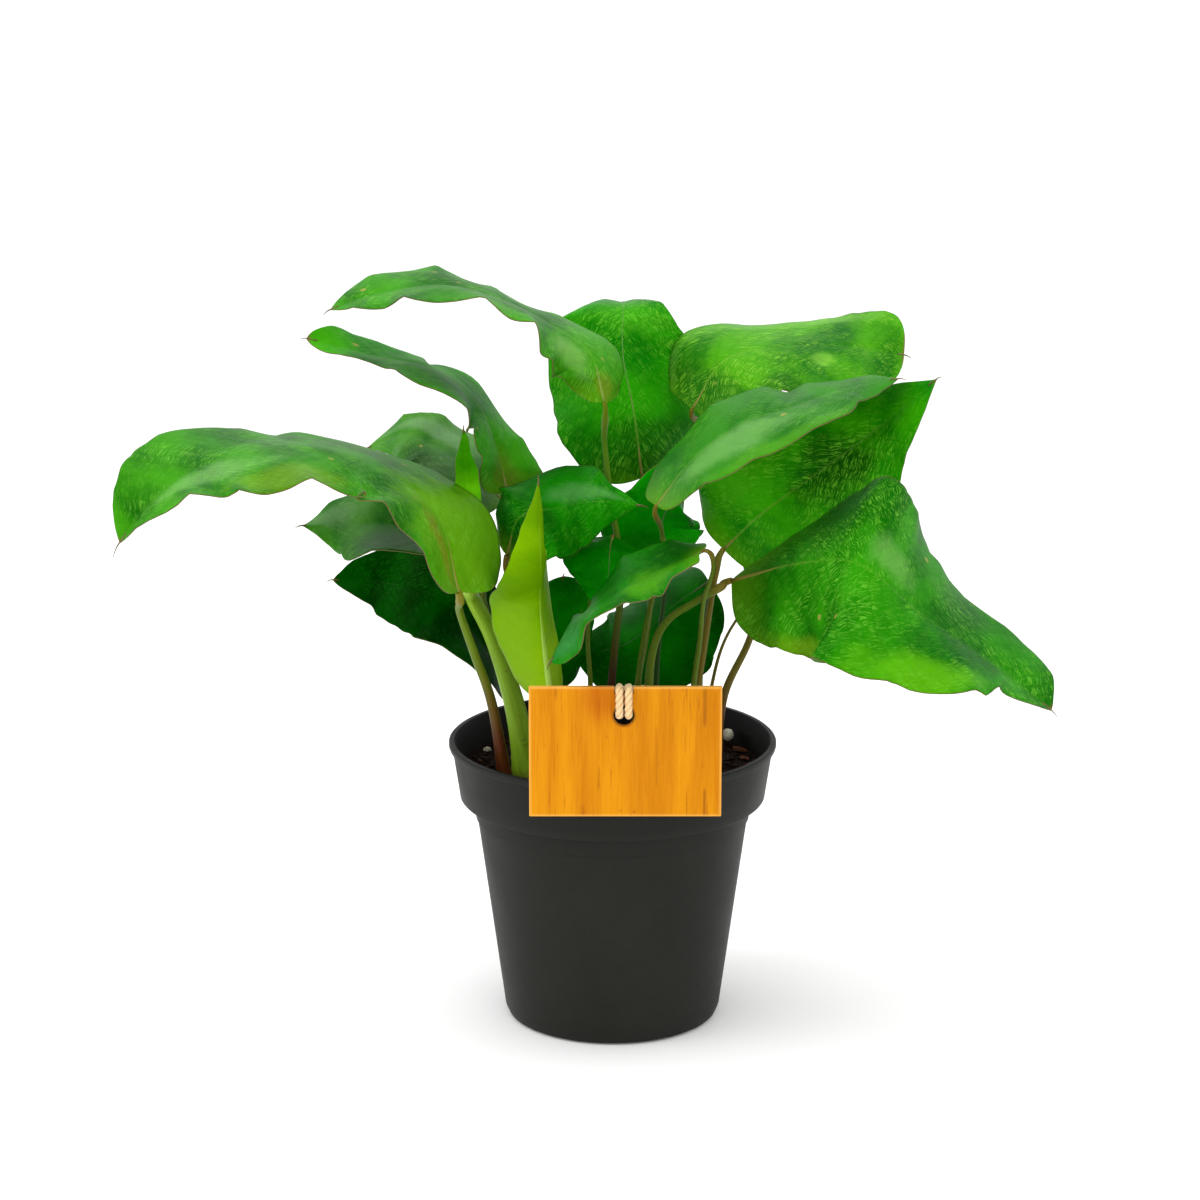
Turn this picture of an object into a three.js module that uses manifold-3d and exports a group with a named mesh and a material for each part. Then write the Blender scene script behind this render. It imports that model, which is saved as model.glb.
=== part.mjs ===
import * as THREE from 'three';
import { mergeVertices } from 'three/addons/utils/BufferGeometryUtils.js';
import Module from 'manifold-3d';

// Potted calathea musaica in its nursery pot, with a care tag tied to the stems.
// Millimetres, +Z up. The origin is the centre of the underside of the pot, on the ground.
// -Y is the front, where the tag hangs, and +X is the right-hand side seen from the front.

const wasm = await Module();
wasm.setup();

// Pot: a 12 cm nursery pot with a wide collar under its lip.
const POT_HEIGHT = 105;
const LIP_RADIUS = 60;
const BASE_RADIUS = 39.7;
const WALL = 1.4;
const FLOOR_THICKNESS = 2;
const COLLAR_BOTTOM = 84;
const DRAIN_HOLES = 8;
const DRAIN_RADIUS = 4;
const DRAIN_CIRCLE = 29;
const ROUND_STEPS = 40;

// Soil: fills the pot up to 10 mm below the lip.
const SOIL_LEVEL = 95;
const SEAT_GAP = 0.3;

// Care tag: an upright card in front of the pot, leaning on the lip.
const TAG_WIDTH = 67;
const TAG_HEIGHT = 47;
const TAG_THICKNESS = 2;
const TAG_LEFT = -29.3;
const TAG_BOTTOM = 95;
const TAG_BACK = -LIP_RADIUS - SEAT_GAP;
const TAG_HOLE_X = 3.7;
const TAG_HOLE_Z = 131.6;
const TAG_HOLE_RADIUS = 3.6;
const NOTCH_WIDTH = 6.6;
const NOTCH_DEPTH = 2.4;

// Tag loop: one closed cord through the hole, over the card and round two stems.
const CORD_RADIUS = 1.4;
const CORD_SPREAD = 1.6;
const CORD_SIDES = 7;
const CORD_STEPS = 96;

// Bead of slow-release feed lying on the soil.
const BEAD_RADIUS = 2.4;
const BEAD_PLACE = [43.4, 28.4];

// Leaves: thickness, size of the wavy margin and number of mesh steps across and along.
const LEAF_THICKNESS = 0.8;
const MARGIN_WAVE = 1.5;
const MARGIN_WAVES = 5;
const LEAF_STEPS_ACROSS = 6;
const LEAF_STEPS_ALONG = 12;
const LEAF_EDGE_MIN = 0.03;
const STEM_SIDES = 7;
const STEM_STEPS = 11;
const STEM_TAPER = 0.45;

// Every leaf grows on a stem of its own.
// midrib: points of the midrib from the base of the blade to its tip.
// facing: where the upper face looks, spread evenly from base to tip.
// cup: degrees each half is raised over the midrib at base, middle and tip.
// droop: further degrees of the margin. heel: how far the base lobes reach back.
// shoulder and taper: how fast the left and the right half widen at the base and narrow at the tip.
// stem: points from the soil to just below the blade. stemGap: space left under the blade.
const LEAVES = [
  // The long arching leaf that reaches out to the far left.
  {
    name: 'far_left',
    midrib: [
      [-53, -63, 176], [-61, -53, 202], [-85, -46, 218], [-109, -53, 225], [-137, -61, 221],
      [-154, -69, 212], [-167, -74, 196]
    ],
    facing: [
      [0.85, -0.4, -0.1], [0.55, -0.15, 0.75], [0.25, -0.05, 0.7], [-0.3, -0.45, 0.85],
      [-0.45, -0.5, 0.55]
    ],
    cup: { left: [11, 3, 32], right: [16, -13, 28] },
    halfWidth: 38.5, droop: -3, heel: 5, shoulder: [0.25, 0.25], taper: [0.85, 0.85],
    stem: [[-38, -24, 95], [-43, -27, 125], [-49, -31, 145], [-54, -35, 162]],
    stemRadius: 2, stemGap: 2.1,
  },
  // The narrow arching leaf of the upper left.
  {
    name: 'upper_left',
    midrib: [
      [-38, 5, 196], [-42, 10, 212], [-49, 12, 228], [-64, 6, 241], [-85, 6, 246],
      [-109, 1, 253]
    ],
    facing: [[0.3, -0.5, 0.05], [0.9, 0.1, 0.45], [-0.1, 0.15, 0.9], [0.05, -0.4, 0.35]],
    cup: { left: [23, -19, 32], right: [19, 12, 6] },
    halfWidth: 25, droop: -7, heel: 0, shoulder: [0.25, 0.25], taper: [0.65, 0.65],
    stem: [[-23, -2, 95], [-28, 0, 127], [-35, 3, 156], [-38, 2, 179]],
    stemRadius: 1.5, stemGap: 0.4,
  },
  // The long leaf that arches over the top to the left.
  {
    name: 'top_left',
    midrib: [
      [-3, -14, 233], [-8, -7, 249], [-22, -4, 259], [-39, -6, 268], [-60, -10, 274],
      [-83, -12, 271], [-99, -15, 266]
    ],
    facing: [[0.65, -0.65, 0.3], [0.1, -0.1, 0.9], [-0.15, -0.1, 0.95], [-0.3, -0.3, 0.9]],
    cup: { left: [-5, 9, 14], right: [-11, 4, 14] },
    halfWidth: 29, droop: -15, heel: 4, shoulder: [0.5, 0.5], taper: [0.95, 0.95],
    stem: [
      [-4, -1, 95], [-1, -1, 120], [1, -1, 142], [3, 0, 161], [2, -1, 178], [-1, -3, 197],
      [-3, -3, 217]
    ],
    stemRadius: 1.6, stemGap: 1.3,
  },
  // The broad leaf standing at the back of the top.
  {
    name: 'top_middle',
    midrib: [[11, 30, 196], [8, 32, 220], [4, 39, 240], [4, 50, 256], [4, 77, 254]],
    facing: [[0.4, -0.85, 0.25], [0.2, -1, 0], [-0.05, 0.1, 1]],
    cup: { left: [-5, -30, 28], right: [-13, -7, 31] },
    halfWidth: 33, droop: -19, heel: 8, shoulder: [0.4, 0.2], taper: [1.2, 1.2],
    stem: [[8, 10, 95], [9, 11, 120], [12, 13, 137], [14, 16, 153], [14, 20, 175]],
    stemRadius: 1.3, stemGap: 0.7,
  },
  // The broad leaf of the top right.
  {
    name: 'top_right',
    midrib: [[29, 19, 224], [41, 21, 242], [65, 25, 246], [88, 24, 246], [106, 24, 243]],
    facing: [[-0.7, -0.45, 0.2], [0.25, -0.15, 0.65], [0.05, -0.3, 0.95], [0, -0.55, 0.55]],
    cup: { left: [0, 0, 7], right: [18, -1, 16] },
    halfWidth: 30.5, droop: -14, heel: 0, shoulder: [0.12, 0.2], taper: [0.32, 0.45],
    stem: [[38, 2, 95], [41, 4, 120], [51, 10, 142], [55, 20, 167], [49, 32, 195], [34, 32, 214]],
    stemRadius: 1.5, stemGap: 1.2,
  },
  // The glossy leaf that arches to the right.
  {
    name: 'right_arching',
    midrib: [
      [15, -39, 201], [27, -35, 216], [44, -36, 229], [64, -35, 236], [81, -30, 241],
      [99, -29, 244]
    ],
    facing: [[-0.4, -0.25, 0.55], [-0.65, -0.05, 0.75], [-0.15, 0.1, 0.75], [-0.05, -0.3, 0.75]],
    cup: { left: [-1, 23, -7], right: [18, -15, 10] },
    halfWidth: 25.5, droop: -14, heel: 1, shoulder: [0.25, 0.25], taper: [0.9, 0.9],
    stem: [[7, -10, 95], [9, -11, 126], [11, -13, 144], [14, -16, 161], [18, -22, 177], [17, -28, 190]],
    stemRadius: 1.3, stemGap: 1.2,
  },
  // The leaf below it that shows its inner face.
  {
    name: 'right_inner',
    midrib: [[40, 0, 176], [53, 3, 188], [73, 15, 200], [95, 22, 215], [117, 14, 236]],
    facing: [[-0.5, -0.35, 0.75], [-0.2, -0.65, 0.75], [-0.45, -0.55, 0.6]],
    cup: { left: [16, 30, 0], right: [0, 0, 0] },
    halfWidth: 32.5, droop: -17, heel: 0, shoulder: [0.25, 0.25], taper: [1.05, 1.05],
    stem: [[30, -6, 95], [31, -7, 125], [33, -8, 141], [35, -9, 156], [37, -10, 169]],
    stemRadius: 1.7, stemGap: 1.4,
  },
  // The largest leaf, bending down at the lower right.
  {
    name: 'right_large',
    midrib: [
      [42, -26, 171], [65, -49, 183], [84, -68, 187], [105, -64, 169], [132, -58, 149],
      [151, -67, 135]
    ],
    facing: [[-0.6, -0.5, 0.55], [0.2, -0.2, 0.05], [0.2, -0.1, 0.95]],
    cup: { left: [-30, -3, 31], right: [-16, 6, 19] },
    halfWidth: 36.5, droop: -18, heel: 7, shoulder: [0.3, 0.3], taper: [0.75, 0.75],
    stem: [
      [13, -18, 95], [13, -19, 129], [15, -20, 146], [20, -23, 156], [29, -26, 163],
      [38, -28, 169]
    ],
    stemRadius: 1.9, stemGap: 1,
  },
  // The leaf in front of the middle that points right.
  {
    name: 'centre_left',
    midrib: [[-38, -13, 177], [-33, -21, 193], [-18, -15, 195], [-5, -23, 199], [10, -21, 197]],
    facing: [[-0.5, -0.75, 0.05], [-0.6, -0.6, 0.45], [0.25, -0.85, 0.45]],
    cup: { left: [-13, 7, -5], right: [-14, -5, -9] },
    halfWidth: 19, droop: -29, heel: 6, shoulder: [0.3, 0.3], taper: [1.2, 1.2],
    stem: [[-20, -13, 95], [-22, -13, 127], [-30, -13, 153], [-37, -12, 168]],
    stemRadius: 1.5, stemGap: 1,
  },
  // The leaf that hangs forward to the left over the middle.
  {
    name: 'centre_low',
    midrib: [[31, -52, 188], [15, -49, 180], [2, -50, 173], [-12, -53, 163], [-22, -52, 148]],
    facing: [[0.5, -0.1, 0.85], [-0.5, -0.1, 0.3], [-0.55, 0, -0.6]],
    cup: { left: [10, 15, -4], right: [10, 6, -13] },
    halfWidth: 26, droop: -17, heel: 3, shoulder: [0.04, 0.35], taper: [0.7, 0.7],
    stem: [[27, -14, 95], [29, -16, 128], [31, -23, 148], [32, -32, 165], [35, -39, 179]],
    stemRadius: 1.2, stemGap: 2.1,
  },
  // The leaf behind the left side.
  {
    name: 'left_back',
    midrib: [[-40, 30, 187], [-53, 33, 199], [-66, 40, 206], [-77, 43, 210], [-92, 50, 203]],
    facing: [[0.3, -0.2, 0.85], [-0.1, -0.1, 0.6], [-0.6, -0.5, 0.65]],
    cup: { left: [-2, 9, 6], right: [11, 1, 7] },
    halfWidth: 24.5, droop: -14, heel: 0, shoulder: [0.25, 0.25], taper: [1.25, 1.25],
    stem: [[-19, 4, 95], [-23, 5, 122], [-31, 8, 151], [-37, 12, 175]],
    stemRadius: 1.5, stemGap: 1.5,
  },
  // The leaf of the left side at middle height.
  {
    name: 'left_middle',
    midrib: [[-49, 1, 167], [-66, -1, 181], [-82, -4, 186], [-98, -2, 186], [-112, -5, 186]],
    facing: [[0.75, -0.35, 0.55], [-0.1, -0.1, 0.5], [0, -0.55, 0.7]],
    cup: { left: [32, 10, -12], right: [-4, 24, -14] },
    halfWidth: 28.5, droop: -12, heel: 1, shoulder: [0.3, 0.3], taper: [1.4, 1.4],
    stem: [[-26, -5, 95], [-36, -4, 124], [-43, 0, 142], [-47, 5, 156]],
    stemRadius: 1.5, stemGap: 0.6,
  },
  // The dark leaf low on the left.
  {
    name: 'left_low',
    midrib: [[-38, 23, 117], [-51, 10, 143], [-65, 13, 155], [-85, 23, 158], [-103, 19, 160]],
    facing: [[0.95, -0.05, 0.3], [0, -0.6, 0], [0.15, -0.75, 0.65]],
    cup: { left: [-3, 39, 6], right: [32, -16, 10] },
    halfWidth: 18.5, droop: 0, heel: 0, shoulder: [0.25, 0.25], taper: [0.85, 0.85],
    stem: [[-34, 9, 95], [-36, 9, 110]],
    stemRadius: 1.5, stemGap: 1.2,
  },
  // The dark leaf behind the middle.
  {
    name: 'centre_dark',
    midrib: [[19, 4, 177], [18, 5, 185], [22, 9, 195], [22, 37, 202]],
    facing: [[-0.2, -0.85, 0.05], [0.95, -0.15, 0.15]],
    cup: { left: [-41, 11, 19], right: [-47, -7, 40] },
    halfWidth: 22.5, droop: -23, heel: 8, shoulder: [0.25, 0.25], taper: [1.45, 1.45],
    stem: [[16, 2, 95], [16, 3, 122], [17, 4, 141], [19, 6, 159]],
    stemRadius: 1.2, stemGap: 0.8,
  },
  // The small leaf hanging in the middle.
  {
    name: 'centre_hanging',
    midrib: [[0, -9, 183], [-1, -17, 180], [-2, -22, 170], [-6, -27, 161]],
    facing: [[0.2, -0.55, 0.8], [0.05, -0.85, 0.55]],
    cup: { left: [-10, -3, 4], right: [-20, -4, 0] },
    halfWidth: 17.5, droop: -25, heel: 6, shoulder: [0.25, 0.25], taper: [1, 1],
    stem: [[-8, -6, 95], [-8, -6, 125], [-9, -6, 144], [-8, -5, 158], [-6, -4, 171], [-3, -6, 178]],
    stemRadius: 1.1, stemGap: 1.5,
  },
  // The dark leaf behind the rolled one.
  {
    name: 'behind_roll',
    midrib: [[-21, 23, 116], [-22, 13, 133], [-20, 11, 149], [-18, 4, 165]],
    facing: [[0, -0.95, -0.2], [0.25, -0.95, -0.2]],
    cup: { left: [-22, -19, 5], right: [-24, -12, -1] },
    halfWidth: 18, droop: -36, heel: 4, shoulder: [0.25, 0.25], taper: [0.75, 0.75],
    stem: [[-16, 12, 95], [-19, 12, 112]],
    stemRadius: 1.4, stemGap: 0.7,
  },
  // The dark leaf low behind the stems.
  {
    name: 'low_behind_stems',
    midrib: [[36, 33, 156], [23, 32, 147], [12, 30, 137], [-1, 28, 131], [-16, 33, 130]],
    facing: [[-0.35, -0.6, 0.7], [-0.3, -0.7, 0.35]],
    cup: { left: [1, -5, -10], right: [-9, -15, -6] },
    halfWidth: 26.5, droop: -29, heel: 0, shoulder: [0.25, 0.25], taper: [0.9, 0.9],
    stem: [[31, 4, 95], [32, 4, 126], [33, 5, 141], [34, 13, 150]],
    stemRadius: 1.3, stemGap: 2.1,
  },
  // The leaf at the back on a thin stem.
  {
    name: 'right_back',
    midrib: [[55, 22, 157], [65, 27, 169], [76, 41, 182], [89, 56, 191]],
    facing: [[-0.35, -0.45, 0.8], [-0.05, -0.65, 0.7]],
    cup: { left: [4, 7, -3], right: [14, 0, -4] },
    halfWidth: 21, droop: -14, heel: 0, shoulder: [0.25, 0.25], taper: [1, 1],
    stem: [[32, 14, 95], [39, 17, 130], [47, 21, 146], [53, 22, 152]],
    stemRadius: 0.8, stemGap: 0.4,
  },
  // The narrow folded young leaf on a wide sheath.
  {
    name: 'folded_young',
    midrib: [[-51, -28, 172], [-52, -16, 187], [-52, -14, 205], [-53, -12, 223]],
    facing: [[0.15, -0.8, 0.55], [0.05, -0.9, 0.15]],
    cup: { left: [41, 37, 33], right: [38, 37, 33] },
    halfWidth: 6.5, droop: -18, heel: 0, shoulder: [0.25, 0.25], taper: [1.05, 1.05],
    stem: [[-30, -14, 95], [-36, -14, 123], [-43, -14, 146], [-50, -15, 161]],
    stemRadius: 4.2, stemGap: 0.7,
  },
  // The newest leaf, still rolled into a cone.
  {
    name: 'rolled_new',
    midrib: [[-22, -44, 134], [-25, -42, 162], [-25, -53, 185], [-26, -41, 211]],
    facing: [[0.15, -0.95, 0.15], [0.45, -0.5, -0.2], [0.65, -0.55, 0.2]],
    cup: { left: [-47, -17, 13], right: [-46, -26, 4] },
    halfWidth: 19.5, droop: -40, heel: 3, shoulder: [0.1, 0.12], taper: [1.35, 1.35],
    stem: [[-22, -28, 95], [-21, -29, 120]],
    stemRadius: 2.8, stemGap: 1.8,
  },
];

const COLOURS = {
  pot: 0x33342f,
  soil: 0x2a1a10,
  tag: 0xeba01a,
  cord: 0xe2d3b4,
  bead: 0xcdbb94,
  leaf: 0x2f8f1a,
  darkLeaf: 0x0c5c12,
  paleLeaf: 0x74a400,
  stem: 0x6d6a2a,
};
const DARK_LEAVES = ['left_low', 'centre_dark', 'centre_hanging', 'behind_roll', 'low_behind_stems'];

const { PI } = Math;

function material(colour, roughness) {
  return new THREE.MeshStandardMaterial({ color: colour, roughness, metalness: 0 });
}

function named(name, geometry, surface) {
  geometry.computeVertexNormals();
  const mesh = new THREE.Mesh(geometry, surface);
  mesh.name = name;
  return mesh;
}

function toManifold(geometry) {
  const bare = geometry.clone();
  bare.deleteAttribute('normal');
  bare.deleteAttribute('uv');
  const joined = mergeVertices(bare, 1e-4);
  return new wasm.Manifold(new wasm.Mesh({
    numProp: 3,
    vertProperties: new Float32Array(joined.attributes.position.array),
    triVerts: new Uint32Array(joined.index.array),
  }));
}

function fromManifold(solid) {
  const mesh = solid.getMesh();
  const geometry = new THREE.BufferGeometry();
  geometry.setAttribute('position', new THREE.BufferAttribute(new Float32Array(mesh.vertProperties), 3));
  geometry.setIndex(new THREE.BufferAttribute(new Uint32Array(mesh.triVerts), 1));
  return geometry;
}

function turned(profile) {
  const points = profile.map(([radius, height]) => new THREE.Vector2(radius, height));
  return new THREE.LatheGeometry(points, ROUND_STEPS).rotateX(PI / 2);
}

// Point of an even spline through the given points, with t from 0 to 1.
function along(points, t) {
  const last = points.length - 1;
  const place = Math.min(Math.max(t, 0), 1) * last;
  const i = Math.min(Math.floor(place), last - 1);
  const u = place - i;
  const p1 = points[i];
  const p2 = points[i + 1];
  const p0 = i > 0 ? points[i - 1] : p1.map((value, axis) => 2 * value - p2[axis]);
  const p3 = i + 2 <= last ? points[i + 2] : p2.map((value, axis) => 2 * value - p1[axis]);
  return p1.map((value, axis) => 0.5 * (
    2 * value
    + (p2[axis] - p0[axis]) * u
    + (2 * p0[axis] - 5 * value + 4 * p2[axis] - p3[axis]) * u * u
    + (3 * value - p0[axis] - 3 * p2[axis] + p3[axis]) * u * u * u
  ));
}

// Width of the blade along its length, 1 at the widest place.
function outlineWidth(t, shoulder, taper) {
  const fullness = 2.4;
  const peak = (shoulder / (shoulder + fullness * taper)) ** (shoulder / fullness)
    * ((fullness * taper) / (shoulder + fullness * taper)) ** taper;
  return (t ** shoulder * (1 - t ** fullness) ** taper) / peak;
}

// Point of a blade: t runs from base to tip, v from -1 at the left margin to 1 at the right.
function bladePoint(leaf, t, v) {
  const step = 0.001;
  const low = Math.max(t - step, 0);
  const high = Math.min(t + step, 1);
  const point = new THREE.Vector3(...along(leaf.midrib, t));
  const heading = new THREE.Vector3(...along(leaf.midrib, high))
    .sub(new THREE.Vector3(...along(leaf.midrib, low)))
    .normalize();
  const up = new THREE.Vector3(...along(leaf.facing, t));
  up.addScaledVector(heading, -up.dot(heading)).normalize();
  const across = new THREE.Vector3().crossVectors(heading, up);
  const side = v < 0 ? -1 : 1;
  const out = Math.abs(v);
  const lifts = (v < 0 ? leaf.cup.left : leaf.cup.right).map((degrees) => [degrees]);
  const lift = along(lifts, t)[0];
  const angle = THREE.MathUtils.degToRad(lift + (leaf.droop * out) / 2);
  const inside = Math.min(Math.max(t, 1e-4), 1);
  const half = v < 0 ? 0 : 1;
  const width = Math.max(outlineWidth(inside, leaf.shoulder[half], leaf.taper[half]), LEAF_EDGE_MIN);
  const offset = leaf.halfWidth * width * out;
  point.addScaledVector(across, side * offset * Math.cos(angle));
  point.addScaledVector(up, offset * Math.sin(angle));
  point.addScaledVector(heading, -leaf.heel * width * (1 - t) ** 3 * out ** 1.5);
  const phase = v < 0 ? 1.3 : 0;
  const scallop = 1 - 2 * Math.abs(Math.sin(PI * MARGIN_WAVES * t + phase));
  const fade = Math.min(1, 6 * t) * Math.min(1, 5 * (1 - t));
  point.addScaledVector(up, MARGIN_WAVE * out ** 2.5 * scallop * fade);
  return point;
}

function bladeNormal(leaf, t, v) {
  const reach = 0.004;
  const column = 2 / LEAF_STEPS_ACROSS;
  const forward = bladePoint(leaf, Math.min(t + reach, 1), v)
    .sub(bladePoint(leaf, Math.max(t - reach, 0), v));
  const sideways = bladePoint(leaf, t, Math.min(v + column, 1))
    .sub(bladePoint(leaf, t, Math.max(v - column, -1)));
  return sideways.cross(forward).normalize();
}

function blade(leaf) {
  const geometry = new THREE.BoxGeometry(2, 1, 1, LEAF_STEPS_ACROSS, LEAF_STEPS_ALONG, 1);
  const place = geometry.attributes.position;
  for (let i = 0; i < place.count; i += 1) {
    const t = 0.5 - 0.5 * Math.cos(PI * (place.getY(i) + 0.5));
    const v = place.getX(i);
    const point = bladePoint(leaf, t, v);
    point.addScaledVector(bladeNormal(leaf, t, v), place.getZ(i) * LEAF_THICKNESS);
    place.setXYZ(i, point.x, point.y, point.z);
  }
  return geometry;
}

function vectors(points) {
  return points.map((point) => new THREE.Vector3(...point));
}

// Middle line of a stem, from just above the soil to just below the base of its blade.
function stemLine(leaf) {
  const foot = [...leaf.stem[0]];
  foot[2] = SOIL_LEVEL + SEAT_GAP;
  const guide = [foot, ...leaf.stem.slice(1), leaf.midrib[0], leaf.midrib[1]];
  const share = (guide.length - 2) / (guide.length - 1);
  const samples = [];
  for (let i = 0; i <= STEM_STEPS; i += 1) {
    samples.push(along(guide, (share * i) / STEM_STEPS));
  }
  const points = vectors(samples);
  const end = points[STEM_STEPS];
  const heading = end.clone().sub(points[STEM_STEPS - 1]).normalize();
  end.addScaledVector(heading, -leaf.stemGap);
  return points;
}

// Round stem, thinner toward the blade.
function stem(leaf) {
  const line = stemLine(leaf);
  const geometry = new THREE.CylinderGeometry(1 - STEM_TAPER, 1, STEM_STEPS, STEM_SIDES, STEM_STEPS);
  const place = geometry.attributes.position;
  const rings = line.map((centre, i) => {
    const before = line[Math.max(i - 1, 0)];
    const after = line[Math.min(i + 1, STEM_STEPS)];
    const heading = i === 0 ? new THREE.Vector3(0, 0, 1) : after.clone().sub(before).normalize();
    const side = new THREE.Vector3().crossVectors(heading, new THREE.Vector3(0, 1, 0.1)).normalize();
    const front = new THREE.Vector3().crossVectors(side, heading);
    return { centre, side, front };
  });
  for (let i = 0; i < place.count; i += 1) {
    const ring = rings[Math.round(place.getY(i) + STEM_STEPS / 2)];
    const point = ring.centre.clone();
    point.addScaledVector(ring.side, place.getX(i) * leaf.stemRadius);
    point.addScaledVector(ring.front, place.getZ(i) * leaf.stemRadius);
    place.setXYZ(i, point.x, point.y, point.z);
  }
  return geometry;
}

// Pot: a thin shell with a rolled foot, a step under the collar and holes round the middle of the floor.
function pot() {
  const shell = toManifold(turned([
    [0, 0],
    [36.2, 0],
    [38.8, 0.9],
    [BASE_RADIUS + 0.2, 3.4],
    [49.7, 75.6],
    [50.3, 76],
    [51, 82],
    [56, COLLAR_BOTTOM],
    [58.7, 102],
    [59.7, 102.4],
    [LIP_RADIUS, 103.2],
    [LIP_RADIUS, POT_HEIGHT - 0.5],
    [LIP_RADIUS - 0.5, POT_HEIGHT],
    [LIP_RADIUS - WALL - 0.6, POT_HEIGHT],
    [57.5, 103.8],
    [54.6, COLLAR_BOTTOM + 1.4],
    [49.7, 83.2],
    [48.4, 75.6],
    [BASE_RADIUS - WALL + 0.2, 3.8],
    [36.8, FLOOR_THICKNESS],
    [0, FLOOR_THICKNESS],
  ]));
  let body = shell;
  for (let i = 0; i < DRAIN_HOLES; i += 1) {
    const angle = (2 * PI * (i + 0.5)) / DRAIN_HOLES;
    const drill = new THREE.CylinderGeometry(DRAIN_RADIUS, DRAIN_RADIUS, 4 * FLOOR_THICKNESS, 16)
      .rotateX(PI / 2)
      .translate(DRAIN_CIRCLE * Math.cos(angle), DRAIN_CIRCLE * Math.sin(angle), 0);
    body = body.subtract(toManifold(drill));
  }
  return fromManifold(body);
}

// Soil: one filling that follows the inside of the pot, with a low flat top round the stems.
function soil() {
  return turned([
    [0, FLOOR_THICKNESS + SEAT_GAP],
    [36.5, FLOOR_THICKNESS + SEAT_GAP],
    [38.1, 4.2],
    [48, 75.6],
    [49.3, 83.6],
    [54.2, COLLAR_BOTTOM + 1.9],
    [55.6, 93.6],
    [52, 94.6],
    [47, SOIL_LEVEL],
    [0, SOIL_LEVEL],
  ]);
}

// Care tag: a card with one hole near its top edge and a shallow notch over it, in which the cord sits.
function tag() {
  const card = new THREE.BoxGeometry(TAG_WIDTH, TAG_THICKNESS, TAG_HEIGHT)
    .translate(TAG_LEFT + TAG_WIDTH / 2, TAG_BACK - TAG_THICKNESS / 2, TAG_BOTTOM + TAG_HEIGHT / 2);
  const drill = new THREE.CylinderGeometry(TAG_HOLE_RADIUS, TAG_HOLE_RADIUS, 4 * TAG_THICKNESS, 24)
    .translate(TAG_HOLE_X, TAG_BACK - TAG_THICKNESS / 2, TAG_HOLE_Z);
  const notch = new THREE.BoxGeometry(NOTCH_WIDTH, 4 * TAG_THICKNESS, 2 * NOTCH_DEPTH)
    .translate(TAG_HOLE_X, TAG_BACK - TAG_THICKNESS / 2, TAG_BOTTOM + TAG_HEIGHT);
  return fromManifold(toManifold(card).subtract(toManifold(drill)).subtract(toManifold(notch)));
}

// Tag loop: from behind two stems to the notch of the card, down its front, through the hole and up its
// back, where the two sides join in a bight that lies over the strands.
function loop() {
  const top = TAG_BOTTOM + TAG_HEIGHT - NOTCH_DEPTH + CORD_RADIUS + SEAT_GAP;
  const front = TAG_BACK - TAG_THICKNESS - CORD_RADIUS - SEAT_GAP;
  const back = TAG_BACK + CORD_RADIUS + SEAT_GAP;
  const middle = TAG_BACK - TAG_THICKNESS / 2;
  const left = TAG_HOLE_X - CORD_SPREAD;
  const armLeft = TAG_HOLE_X - 3 * CORD_SPREAD;
  const strandLeft = [
    [5.7, -10.2, 125.8],
    [4.5, -15.6, 126.3],
    [3.4, -30, 129.4],
    [left + 0.1, -45, 133.2],
    [left, -55, 135.6],
    [left, back + 0.9, top - 4],
    [left, back, top - 2],
    [left, middle + 2, top - 0.3],
    [left, middle, top + 0.05],
    [left, middle - 2, top - 0.3],
    [left, front, top - 2],
    [left, front, top - 4.7],
    [left, front, TAG_HOLE_Z + 2.4],
    [left, middle - 1.9, TAG_HOLE_Z + 0.7],
    [left, middle, TAG_HOLE_Z],
    [left, middle + 1.9, TAG_HOLE_Z + 0.5],
    [left - 1.3, back + 0.5, TAG_HOLE_Z + 1.7],
    [armLeft - 0.6, back + 1.6, TAG_HOLE_Z + 3.2],
    [armLeft - 0.8, back + 3, TAG_HOLE_Z + 5],
    [armLeft + 0.4, back + 3.5, TAG_HOLE_Z + 6.6],
  ];
  const bight = [TAG_HOLE_X, back + 3.8, TAG_HOLE_Z + 7.3];
  const strandRight = strandLeft.slice(4)
    .map(([x, y, z]) => [2 * TAG_HOLE_X - x, y, z])
    .reverse();
  const roundStems = [
    [5.6, -47, 133.4],
    [10.4, -35, 130.3],
    [14.9, -24.4, 127.6],
    [16.6, -18.6, 126],
    [14.8, -12.2, 125.8],
    [10.1, -7.3, 125.8],
  ];
  const route = new THREE.CatmullRomCurve3(
    vectors([...strandLeft, bight, ...strandRight, ...roundStems]),
    true,
    'catmullrom',
    0.5,
  );
  return closedCord(route);
}

// A ring of cord laid along a closed route.
function closedCord(route) {
  const size = 10 * CORD_RADIUS;
  const geometry = new THREE.TorusGeometry(size, CORD_RADIUS, CORD_SIDES, CORD_STEPS);
  const centres = route.getSpacedPoints(CORD_STEPS);
  const { normals, binormals } = route.computeFrenetFrames(CORD_STEPS, true);
  const place = geometry.attributes.position;
  for (let i = 0; i < place.count; i += 1) {
    const turn = Math.atan2(place.getY(i), place.getX(i)) / (2 * PI);
    const k = Math.round((turn + 1) * CORD_STEPS) % CORD_STEPS;
    const outward = Math.hypot(place.getX(i), place.getY(i)) - size;
    const point = centres[k].clone();
    point.addScaledVector(normals[k], outward);
    point.addScaledVector(binormals[k], -place.getZ(i));
    place.setXYZ(i, point.x, point.y, point.z);
  }
  return geometry;
}

function leafColour(name) {
  if (name === 'rolled_new') {
    return COLOURS.paleLeaf;
  }
  return DARK_LEAVES.includes(name) ? COLOURS.darkLeaf : COLOURS.leaf;
}

const plant = new THREE.Group();
plant.name = 'potted_calathea_musaica';

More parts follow.
